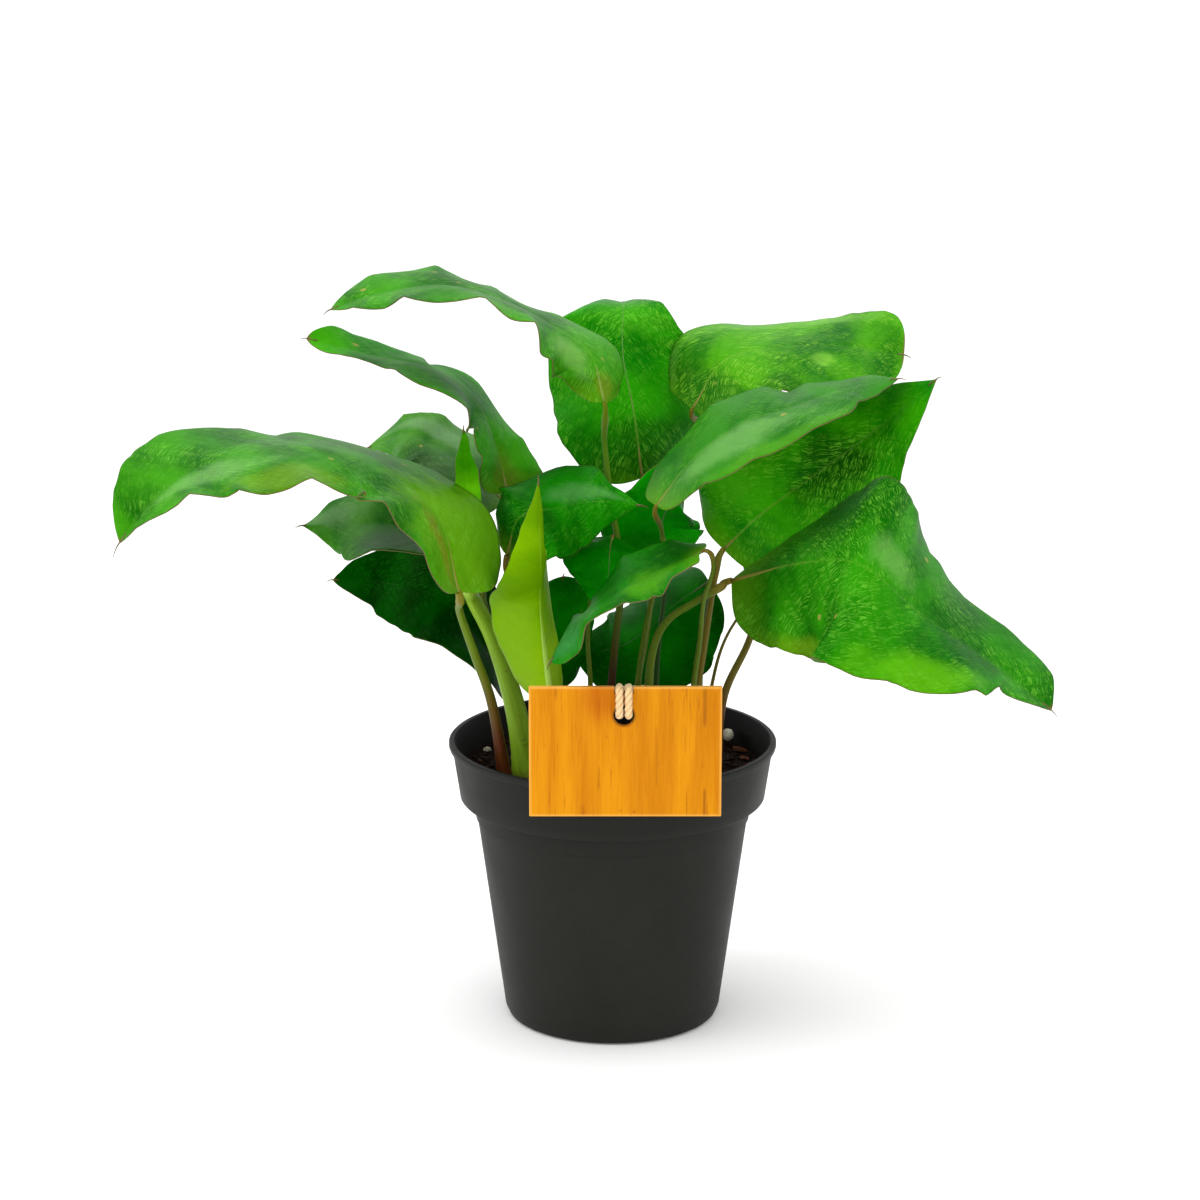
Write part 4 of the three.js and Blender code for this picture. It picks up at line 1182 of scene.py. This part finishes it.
    def add_rib(self, piece: Piece) -> None:
        """Adds the raised midrib and the dry hair to a blade's mesh.

        Args:
            piece: The blade.
        """
        form = self.form
        share = np.linspace(0.0, self.rib_end, self.rib_steps)
        spot, _, up, _ = self.axes(share)
        thick = np.interp(share, [0, self.rib_end], [form.stem_radius * self.rib_share, self.rib_tip])
        bm = bmesh.new()
        bm.from_mesh(piece.data)
        faces = len(bm.faces)
        path = (spot - up * (thick * np.interp(share, [0, 0.12], [0.1, 1.0]) + 0.15)[:, None]) * MM
        add_tube(bm, path, lambda angle, at: np.interp(at, [0, 1], thick[[0, -1]]) * MM, self.rib_sides)
        ribs = len(bm.faces)
        tip, heading, _, _ = self.axes(np.array([0.97, 1.0]))
        run = np.linspace(0, 1, 8)[:, None]
        hair = tip[1] + heading[1] * form.hair * run + np.array([0.1, 0, -0.35]) * form.hair * run**2
        bm.faces.index_update()
        ends = np.vstack([tip[:1], hair]) * MM
        add_tube(bm, ends, lambda angle, at: np.interp(at, [0, 1], self.hair_radii) * MM, self.hair_sides)
        bm.faces.ensure_lookup_table()
        bm.faces.index_update()
        for face in bm.faces[faces:]:
            face.material_index, face.smooth = (3 if face.index < ribs else 2), True
        bmesh.ops.recalc_face_normals(bm, faces=bm.faces[faces:])
        bm.to_mesh(piece.data)
        bm.free()

    def stem(self) -> Piece:
        """Stalk from a flared sheath in the soil to the base of the blade.

        Returns:
            The finished piece.
        """
        form = self.form
        foot = (*form.stem[0][:2], self.stalk_foot)
        guide = np.array([foot, *form.stem[1:], *form.midrib[:2]], float)
        path = spline(guide, np.linspace(0, (len(guide) - 2) / (len(guide) - 1), 60))
        tall = path[-1][2] - self.stalk_foot

        def radius(angle: Rows, share: Rows) -> Rows:
            """Flared foot, slight grooves, thin neck and swollen top.

            Args:
                angle: Angle round the stalk.
                share: 0 at its foot to 1 at its top.

            Returns:
                The radius in metres.
            """
            base = form.stem_radius * (1 - self.stalk_taper * share)
            wide, fall = self.flare
            flare = 1 + wide * np.exp(-share * tall / fall)
            thick, middle, reach = self.knee
            knee = 1 + thick * np.exp(-(((share - middle) * tall / reach) ** 2))
            ribs = 1 + 0.05 * np.cos(3 * angle + self.seed) + 0.025 * np.cos(7 * angle)
            return base * flare * knee * ribs * MM

        bm = bmesh.new()
        add_tube(bm, path * MM, radius, self.stalk_sides)
        bmesh.ops.recalc_face_normals(bm, faces=bm.faces)
        piece = finish_mesh(bm, "stalk_" + form.name, [self.finish.stalk(form, self.seed)], 60)
        return carried(piece, "stem_" + form.name)


# Pot, soil, bead, tag and cord


@dataclass
class Pot:
    """Thin nursery pot of matte dark plastic, turned from one profile, with drain holes."""

    effects: Effects
    profile: tuple[Pair, ...] = (
        (0, 0), (36.2, 0), (38.8, 0.9), (39.9, 3.4), (44.7, 39), (49.7, 75.6), (50.3, 76), (50.35, 76.7),
        (51, 82), (51.6, 82.5), (55.6, 83.5), (56, 84), (57.35, 93), (58.7, 102), (59.7, 102.4), (60, 103.2),
        (60, 104.5), (59.5, 105), (58, 105), (57.5, 103.8), (54.6, 85.4), (49.7, 83.2), (48.4, 75.6),
        (38.5, 3.8), (36.8, 2), (0, 2),
    )
    steps: int = 144
    hole_radius: float = 4.0
    hole_circle: float = 29.0
    holes: int = 8

    def finish(self) -> Material:
        """Matte grey black plastic with a fine grain, faint handling marks, a few dust specks and painted
        shade on the inner wall above the soil.

        Returns:
            The material.
        """
        g = Coat("pot_plastic")
        place = g.millimetres()
        x, y, z = g.split(place)
        marks = g.group(self.effects.flecks, Place=place, Speck_Size=4.5, Share=0.02, Smudge_Size=30.0)
        colour = g.mix(marks["Smudges"], paint(22, 23, 18), paint(28, 29, 24))
        rings = g.noise(g.join(0.0, 0.0, z), 0.9)
        colour = g.glaze(colour, rings, 0.35, (34, 35, 31))
        colour = g.glaze(colour, marks["Specks"], 0.4, (110, 109, 100))
        # Painted shade: the inner wall above the soil is darkened almost to black.
        wall = g.math("SUBTRACT", g.measure("LENGTH", g.join(x, y)), g.line(z, 0.15, 42.75))
        inside = g.times(g.step(wall, 1.1, -0.2), g.step(z, 84.5, 86.5))
        colour = g.glaze(colour, inside, 0.8, (5, 5, 4))
        normal = g.bump(rings, 0.00008, 0.6, g.bump(g.noise(place, 3.2), 0.00005))
        return g.done(colour, g.line(marks["Smudges"], 0.1, 0.5), normal, Specular_IOR_Level=0.13)

    def build(self) -> Piece:
        """Turns the wall, drills the holes and softens the edges.

        Returns:
            The finished piece.
        """
        piece = finish_mesh(turned(self.profile, self.steps), "nursery_pot", [self.finish()], 40)
        drill = bmesh.new()
        for index in range(self.holes):
            angle = (index + 0.5) * math.tau / self.holes
            spot = Vector((math.cos(angle) * self.hole_circle, math.sin(angle) * self.hole_circle, 1)) * MM
            add_peg(drill, self.hole_radius, 32, Matrix.Translation(spot))
        carve(piece, drill)
        return carried(softened(piece, 0.35, 2, 32), "pot")


@dataclass(frozen=True)
class Bits:
    """One kind of loose bit on the soil: its finish and how many there are, how long and of what shape."""

    name: str
    dark: Paint
    light: Paint
    count: int
    least: float
    most: float
    shape: Point


@dataclass
class Soil:
    """Potting mix: an uneven body with crumbs, bark chips and a few pale grains on top."""

    effects: Effects
    profile: tuple[Pair, ...] = (
        (0, 2.3), (36.5, 2.3), (38.1, 4.2), (48, 75.6), (49.3, 83.6), (54.2, 85.9), (55.6, 93.6),
        (54.4, 94.2),
    )
    rings: int = 40
    steps: int = 120
    top: float = 95.0
    top_radius: float = 54.0
    rough_above: float = 94.4
    bits: tuple[Bits, ...] = (
        Bits("soil_crumb", (8, 4, 2), (52, 27, 15), 1500, 0.5, 1.5, (1, 0.8, 0.7)),
        Bits("bark_chip", (34, 14, 6), (112, 62, 36), 90, 1.2, 3.4, (1, 0.4, 0.22)),
        Bits("pale_grain", (150, 140, 120), (214, 208, 190), 16, 0.6, 1.3, (1, 0.9, 0.8)),
    )
    placed: tuple[tuple[int, float, Point, Pair], ...] = (
        (3, 2.0, (1.0, 0.85, 0.8), (-46.8, 20.5)), (2, 3.6, (1.0, 0.35, 0.25), (47.7, 19.2)),
    )
    scatter_radius: float = 53.5
    lean: float = 0.5
    roughness: Pair = (0.72, 1.2)
    seed: int = 11

    def finish(self) -> Material:
        """Moist dark brown mix of coarse and fine crumbs.

        Returns:
            The material.
        """
        g = Coat("potting_mix")
        place = g.millimetres()
        fine = g.noise(place, 1.4, 6.0, 0.7)
        colour = g.mix(g.step(fine, 0.35, 0.7), paint(8, 5, 3), paint(46, 24, 13))
        marks = g.group(self.effects.flecks, Place=place, Speck_Size=1.3, Share=0.12, Smudge_Size=9.0)
        colour = g.glaze(colour, marks["Specks"], 0.6, (112, 72, 46))
        colour = g.glaze(colour, marks["Smudges"], 0.35, (36, 18, 12))
        return g.done(colour, g.step(fine, 0.3, 0.7, 0.6, 0.92), g.bump(fine, 0.0012),
                      Specular_IOR_Level=0.06)

    def bit_finish(self, bits: Bits) -> Material:
        """Streaky bark, crumb or pale mineral.

        Args:
            bits: The kind.

        Returns:
            The material.
        """
        g = Coat(bits.name)
        streak = g.noise(g.millimetres(), 1.1, 5.0, 0.65)
        colour = g.mix(g.step(streak, 0.35, 0.65), paint(*bits.dark), paint(*bits.light))
        return g.done(colour, g.step(streak, 0.3, 0.7, 0.6, 0.85), g.bump(streak, 0.0005),
                      Specular_IOR_Level=0.1)

    def height(self, x: float, y: float) -> float:
        """Level of the top.

        Args:
            x: Place across in millimetres.
            y: Place in depth in millimetres.

        Returns:
            The level in millimetres.
        """
        spot = Vector((x, y, 0.0))
        mound = 0.8 * math.exp(-((x + 2) ** 2 + (y + 6) ** 2) / 900)
        rough = 0.9 * noise.fractal(spot / 7 + Vector((3, 1, 5)), 1.0, 2.0, 5) + 0.5 * noise.noise(spot / 1.7)
        near_wall = max(0.0, 1 - (55.2 - math.hypot(x, y)) / 9)
        return self.top - 0.9 + mound + rough - 0.6 * near_wall

    def build(self) -> Piece:
        """Turns the body, roughens its top and scatters the loose bits on it.

        Returns:
            The finished piece.
        """
        flat = tuple((self.top_radius * (1 - (i + 1) / self.rings), self.top) for i in range(self.rings))
        bm = turned(self.profile + flat, self.steps)
        for vert in bm.verts:
            if vert.co.z > self.rough_above * MM:
                vert.co.z = self.height(vert.co.x / MM, vert.co.y / MM) * MM
        draw = random.Random(self.seed)
        for number, bits in enumerate(self.bits, 1):
            for _ in range(bits.count):
                size = bits.least + (bits.most - bits.least) * draw.random() ** 2.2
                self.scatter(bm, draw, number, size, bits.shape)
        for number, size, shape, spot in self.placed:
            self.scatter(bm, draw, number, size, shape, spot)
        materials = [self.finish(), *map(self.bit_finish, self.bits)]
        return carried(finish_mesh(bm, "potting_soil", materials, 50), "soil")

    def scatter(self, bm: Mesh, draw: random.Random, number: int, size: float, shape: Point,
                spot: Pair | None = None) -> None:
        """Drops one loose bit on the soil.

        Args:
            bm: Takes the bit.
            draw: Source of the random numbers.
            number: Its material.
            size: Its half length in millimetres.
            shape: Its half lengths as shares of size.
            spot: Where it lies, or None for anywhere inside the wall.
        """
        radius, angle = self.scatter_radius * math.sqrt(draw.random()), draw.random() * math.tau
        x, y = spot or (radius * math.cos(angle), radius * math.sin(angle))
        turn = Matrix.Rotation(draw.random() * math.tau, 4, "Z")
        turn = turn @ Matrix.Rotation(draw.uniform(-self.lean, self.lean), 4, "X")
        centre = Vector((x, y, self.height(x, y) + 0.25 * size)) * MM
        halves = Matrix.Diagonal((*(share * size * MM for share in shape), 1.0))
        fit = Matrix.Translation(centre) @ turn @ halves
        made = bmesh.ops.create_icosphere(bm, subdivisions=1, radius=1.0, matrix=fit)
        for vert in made["verts"]:
            vert.co = centre + (vert.co - centre) * draw.uniform(*self.roughness)
        for face in {face for vert in made["verts"] for face in vert.link_faces}:
            face.material_index = number


@dataclass
class FeedBead:
    """Pale slow release bead that lies on the soil, pitted and a little flattened."""

    effects: Effects
    radius: float = 2.4
    dent: float = 0.06
    dent_size: float = 1.6
    flatness: float = 0.94

    def finish(self) -> Material:
        """Chalky pale shell with soil stains.

        Returns:
            The material.
        """
        g = Coat("feed_bead")
        place = g.millimetres()
        marks = g.group(self.effects.flecks, Place=place, Speck_Size=0.9, Share=0.3, Smudge_Size=2.6)
        colour = g.mix(marks["Smudges"], paint(226, 222, 206), paint(188, 178, 152))
        colour = g.glaze(colour, marks["Specks"], 0.75, (72, 50, 34))
        return g.done(colour, g.step(g.noise(place, 2.0), 0.3, 0.7, 0.45, 0.7),
                      g.bump(g.noise(place, 2.2, 4.0), 0.0004))

    def build(self) -> Piece:
        """Shapes the bead in the box of its CAD node.

        Returns:
            The finished piece.
        """
        low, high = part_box("feed_bead")
        bm = bmesh.new()
        bmesh.ops.create_icosphere(bm, subdivisions=4, radius=self.radius * MM)
        for vert in bm.verts:
            vert.co *= 1 + self.dent * noise.fractal(vert.co / MM / self.dent_size, 1.0, 2.0, 3)
            vert.co.z *= self.flatness
            vert.co += (low + high) / 2
        return carried(finish_mesh(bm, "feed_bead_shell", [self.finish()], 180), "feed_bead")


@dataclass(frozen=True)
class Streak:
    """Dark streak in the card's grain: where it runs, its half width, its ends and how plainly it shows."""

    across: float
    half_width: float
    low: float
    high: float
    show: float


@dataclass
class CareTag:
    """Thin bamboo card with a hanging hole and a notch over it."""

    effects: Effects
    width: float = 67.0
    height: float = 47.0
    thickness: float = 2.0
    left: float = -29.3
    bottom: float = 95.0
    back: float = -60.3
    hole: Pair = (3.7, 131.6)
    hole_radius: float = 3.6
    notch: Pair = (6.6, 2.4)
    streaks: tuple[Streak, ...] = (
        Streak(31.6, 0.5, 128.0, 142.0, 0.5), Streak(31.8, 0.35, 95.0, 105.0, 0.6),
        Streak(15.0, 0.3, 106.0, 128.0, 0.22), Streak(-10.5, 0.3, 95.0, 99.0, 0.4),
        Streak(-20.0, 0.3, 138.0, 142.0, 0.4),
    )

    def finish(self) -> Material:
        """Warm orange bamboo: upright fibres, broad bands, dark streaks, pale edges, a painted shadow of the
        cord beside the hole and a darker ring round the hole.

        Returns:
            The material.
        """
        g = Coat("bamboo_card")
        place = g.millimetres()
        x, _, z = g.split(place)
        grain = g.group(self.effects.fibres, Place=place, Width=0.55, Length=16.0)
        colour = g.mix(g.step(grain["Bands"], 0.3, 0.7), paint(186, 112, 0), paint(206, 134, 4))
        colour = g.glaze(colour, g.step(grain["Fibres"], 0.46, 0.72), 0.24, (164, 90, 0))
        colour = g.glaze(colour, g.step(grain["Fibres"], 0.5, 0.28), 0.2, (214, 146, 16))
        shifted = g.vector("ADD", place, (31.0, 7.0, 12.0))
        wide = g.group(self.effects.fibres, Place=shifted, Width=1.1, Length=20.0)
        colour = g.glaze(colour, g.step(wide["Fibres"], 0.6, 0.7), 0.45, (136, 68, 6))
        bent = g.line(grain["Bands"], 0.8, x)
        for streak in self.streaks:
            off = g.math("ABSOLUTE", g.math("SUBTRACT", bent, streak.across + 0.4))
            near = g.step(off, 2.2 * streak.half_width, 0.3 * streak.half_width)
            begun = g.step(z, streak.low - 1.5, streak.low + 1.5)
            along = g.times(begun, g.step(z, streak.high + 1.5, streak.high - 1.5))
            colour = g.glaze(colour, g.times(near, along), streak.show, (122, 60, 4))
        edges = []
        for at, start, size in ((x, self.left, self.width), (z, self.bottom, self.height)):
            off = g.math("ABSOLUTE", g.math("SUBTRACT", at, start + size / 2))
            edges.append(g.step(off, size / 2 - 1.2, size / 2 - 0.1))
        colour = g.glaze(colour, g.math("MAXIMUM", *edges), 0.5, (240, 182, 92))
        # Painted shadow of the cord: a darker orange patch up and left of the hole.
        flat = g.join(x, z)
        gap = g.measure("DISTANCE", flat, (self.hole[0] - 8, self.hole[1] + 6, 0.0))
        colour = g.mix(g.step(gap, 12.0, 2.0, 0.0, 0.55), colour, paint(168, 78, 0))
        # Darker brown ring round the hole.
        ring = g.measure("DISTANCE", flat, (*self.hole, 0.0))
        hole_ring_dark = g.step(ring, self.hole_radius + 1.0, self.hole_radius, 0.0, 0.5)
        colour = g.mix(hole_ring_dark, colour, paint(104, 50, 8))
        marks = g.group(self.effects.flecks, Place=place, Speck_Size=2.4, Share=0.05)
        colour = g.glaze(colour, marks["Specks"], 0.35, (146, 76, 8))
        return g.done(colour, g.step(grain["Fibres"], 0.3, 0.7, 0.45, 0.62), g.bump(grain["Fibres"], 0.00025),
                      Specular_IOR_Level=0.08)

    def build(self) -> Piece:
        """Shapes the card, drills the hole, cuts the notch and softens the edges.

        Returns:
            The finished piece.
        """
        bm, drill = bmesh.new(), bmesh.new()
        depth = self.back - self.thickness / 2
        size = Vector((self.width, self.thickness, self.height)) * MM
        centre = Vector((self.left + self.width / 2, depth, self.bottom + self.height / 2)) * MM
        bmesh.ops.create_cube(bm, size=1.0, matrix=Matrix.Translation(centre) @ Matrix.Diagonal((*size, 1.0)))
        piece = finish_mesh(bm, "care_card", [self.finish()], 30)
        spot = Vector((self.hole[0], depth, self.hole[1])) * MM
        add_peg(drill, self.hole_radius, 48, Matrix.Translation(spot) @ Matrix.Rotation(math.pi / 2, 4, "X"))
        spot.z = (self.bottom + self.height) * MM
        cut = Vector((self.notch[0], 8, 2 * self.notch[1])) * MM
        bmesh.ops.create_cube(drill, size=1.0, matrix=Matrix.Translation(spot) @ Matrix.Diagonal((*cut, 1.0)))
        carve(piece, drill)
        return carried(softened(piece, 0.3, 3, 30), "care_tag")


@dataclass
class TagLoop:
    """Soft twisted cord loop: through the card's hole, over its top edge and round two stalks."""

    radius: float = 1.4
    steps: int = 520
    sides: int = 20
    plies: int = 3
    twist: float = 7.5
    top: float = 141.3
    hole: float = 131.6
    left: float = 2.1
    arm_left: float = -1.1
    front: float = -64.0
    back: float = -58.6
    middle: float = -61.3
    centre: float = 3.7

    def route(self) -> Rows:
        """Centre line of the cord, closed on itself.

        Returns:
            Its points in millimetres.
        """
        left, arm, top, hole = self.left, self.arm_left, self.top, self.hole
        front, back, middle = self.front, self.back, self.middle
        first = [(5.7, -10.2, 125.8), (4.5, -15.6, 126.3), (3.4, -30, 129.4), (left + 0.1, -45, 133.2),
                 (left, -55, 135.6), (left, back + 0.9, top - 4), (left, back, top - 2),
                 (left, middle + 2, top - 0.3), (left, middle, top + 0.05), (left, middle - 2, top - 0.3),
                 (left, front, top - 2),
                 (left, front, top - 4.7), (left, front, hole + 2.4), (left, middle - 1.9, hole + 0.7),
                 (left, middle, hole), (left, middle + 1.9, hole + 0.5), (left - 1.3, back + 0.5, hole + 1.7),
                 (arm - 0.6, back + 1.6, hole + 3.2), (arm - 0.8, back + 3, hole + 5),
                 (arm + 0.4, back + 3.5, hole + 6.6)]
        second = [(2 * self.centre - x, y, z) for x, y, z in reversed(first[4:])]
        bight = [(self.centre, back + 3.8, hole + 7.3)]
        round_stalks = [(5.6, -47, 133.4), (10.4, -35, 130.3), (14.9, -24.4, 127.6), (16.6, -18.6, 126),
                        (14.8, -12.2, 125.8), (10.1, -7.3, 125.8)]
        knots = np.array(first + bight + second + round_stalks)
        wrapped = np.vstack([knots[-2:], knots, knots[:3]])
        dense = spline(wrapped, np.linspace(2, len(knots) + 2, 4001) / (len(wrapped) - 1))
        far = reaches(dense)
        even = np.linspace(0, far[-1], self.steps + 1)
        LOG.info("cord loop: %.0f mm round", far[-1])
        return np.stack([np.interp(even, far, dense[:, i]) for i in range(3)], 1)

    def finish(self, twist: float) -> Material:
        """Pale tan plied fibre with fine slanting threads and painted shade in the valleys between the plies.

        Args:
            twist: Length of one turn of the plies in millimetres.

        Returns:
            The material.
        """
        g = Coat("plied_cord")
        angle, along, _ = g.split(g.attribute("place"))
        turn = g.line(along, -math.tau / twist, angle)
        ply_shading = g.math("ABSOLUTE", g.math("COSINE", g.times(turn, self.plies / 2)))
        threads = g.math("SINE", g.line(along, 9.0, g.times(angle, 6.0)))
        fuzz = g.noise(g.millimetres(), 3.0, 4.0, 0.6)
        # Painted shade: the valleys between the plies are darker tan than their crowns.
        colour = g.mix(g.step(ply_shading, 0.0, 0.6), paint(186, 136, 80), paint(228, 190, 134))
        colour = g.glaze(colour, g.step(threads, -1.0, 1.0), 0.2, (214, 172, 112))
        colour = g.glaze(colour, fuzz, 0.35, (242, 214, 168))
        relief = g.bump(g.line(threads, 0.3, fuzz), 0.0002)
        return g.done(colour, g.step(fuzz, 0.3, 0.7, 0.75, 0.92), relief, Sheen_Weight=0.3)

    def build(self) -> Piece:
        """Wraps the plied section round the route.

        Returns:
            The finished piece.
        """
        path = self.route()
        length = reaches(path)[-1]
        turns = round(length / self.twist)

        def radius(angle: Rows, share: Rows) -> Rows:
            """Round plies that turn along the cord.

            Args:
                angle: Angle round the cord.
                share: 0 at its start to 1 at its end.

            Returns:
                The radius in metres.
            """
            turn = angle - math.tau * turns * share
            return self.radius * (0.8 + 0.22 * np.abs(np.cos(turn * self.plies / 2))) * MM

        bm = bmesh.new()
        add_tube(bm, path * MM, radius, self.sides, closed=True)
        bmesh.ops.recalc_face_normals(bm, faces=bm.faces)
        piece = finish_mesh(bm, "twisted_loop", [self.finish(length / turns)], 180)
        return carried(piece, "tag_loop")


@dataclass(frozen=True)
class Softbox:
    """Square soft light: its name, where it hangs and the length of its side in metres, and its watts."""

    name: str
    spot: Point
    size: float
    power: float


@dataclass
class Studio:
    """Plain pale floor, white surroundings, large soft lights and the camera."""

    floor_half: float = 16.0
    surround: float = 1.1
    location: Point = (-0.0046, -1.145, 0.449)
    pitch: float = 14.3
    lens: float = 97.65
    sensor: float = 36.0
    clip_end: float = 60.0
    target: Point = (0, 0, 0.15)
    lights: tuple[Softbox, ...] = (
        Softbox("overhead", (-0.25, -0.15, 1.5), 1.3, 12.0),
        Softbox("front_fill", (0.55, -1.9, 0.9), 1.2, 8.0),
        Softbox("left_side", (-1.6, -0.5, 0.8), 0.9, 7.0),
    )

    def build(self) -> None:
        """Sets up floor, world, lights and camera."""
        bm = bmesh.new()
        bmesh.ops.create_grid(bm, x_segments=8, y_segments=8, size=self.floor_half)
        g = Coat("studio_floor")
        tint = g.mix(g.noise(g.millimetres(), 0.002), paint(247, 247, 246), paint(250, 250, 250))
        finish_mesh(bm, "studio_floor", [g.done(tint, 0.8)])
        world = bpy.data.worlds.new("studio_surround")
        world.use_nodes = True
        back = world.node_tree.nodes["Background"]
        back.inputs["Color"].default_value = (1, 1, 1, 1)
        back.inputs["Strength"].default_value = self.surround
        bpy.context.scene.world = world
        for light in self.lights:
            self.hang(light)
        self.camera()
        bpy.context.scene.view_settings.view_transform = "Standard"

    def hang(self, light: Softbox) -> None:
        """Adds a soft light that aims at the plant.

        Args:
            light: Its settings.
        """
        data = bpy.data.lights.new(light.name, "AREA")
        data.size, data.energy = light.size, light.power
        lamp = bpy.data.objects.new(light.name, data)
        lamp.location = light.spot
        lamp.rotation_euler = (Vector(self.target) - Vector(light.spot)).to_track_quat("-Z", "Y").to_euler()
        bpy.context.scene.collection.objects.link(lamp)

    def camera(self) -> None:
        """Adds the camera at the photograph's viewing angle."""
        data = bpy.data.cameras.new("view")
        data.lens, data.sensor_width, data.clip_end = self.lens, self.sensor, self.clip_end
        eye = bpy.data.objects.new("view", data)
        eye.location = self.location
        eye.rotation_euler = (math.radians(90 - self.pitch), 0, 0)
        bpy.context.scene.collection.objects.link(eye)
        bpy.context.scene.camera = eye


def main() -> None:
    """Builds the studio and every piece."""
    logging.basicConfig(level=logging.INFO, format="%(name)s: %(message)s")
    Studio().build()
    effects = Effects()
    made = [kind(effects).build() for kind in (Pot, Soil, FeedBead, CareTag)] + [TagLoop().build()]
    finish = LeafFinish(effects)
    rim = finish.rim()
    for number, form in enumerate(LEAVES):
        leaf = Leaf(form, finish, rim, 3.7 + 5.3 * number)
        made += [leaf.blade(), leaf.stem()]
    counts = []
    for piece in made:
        piece.data.calc_loop_triangles()
        counts.append(len(piece.data.loop_triangles))
        LOG.info("%s: %d triangles", piece.name, counts[-1])
    LOG.info("in all: %d triangles", sum(counts))


if __name__ == "__main__":
    main()
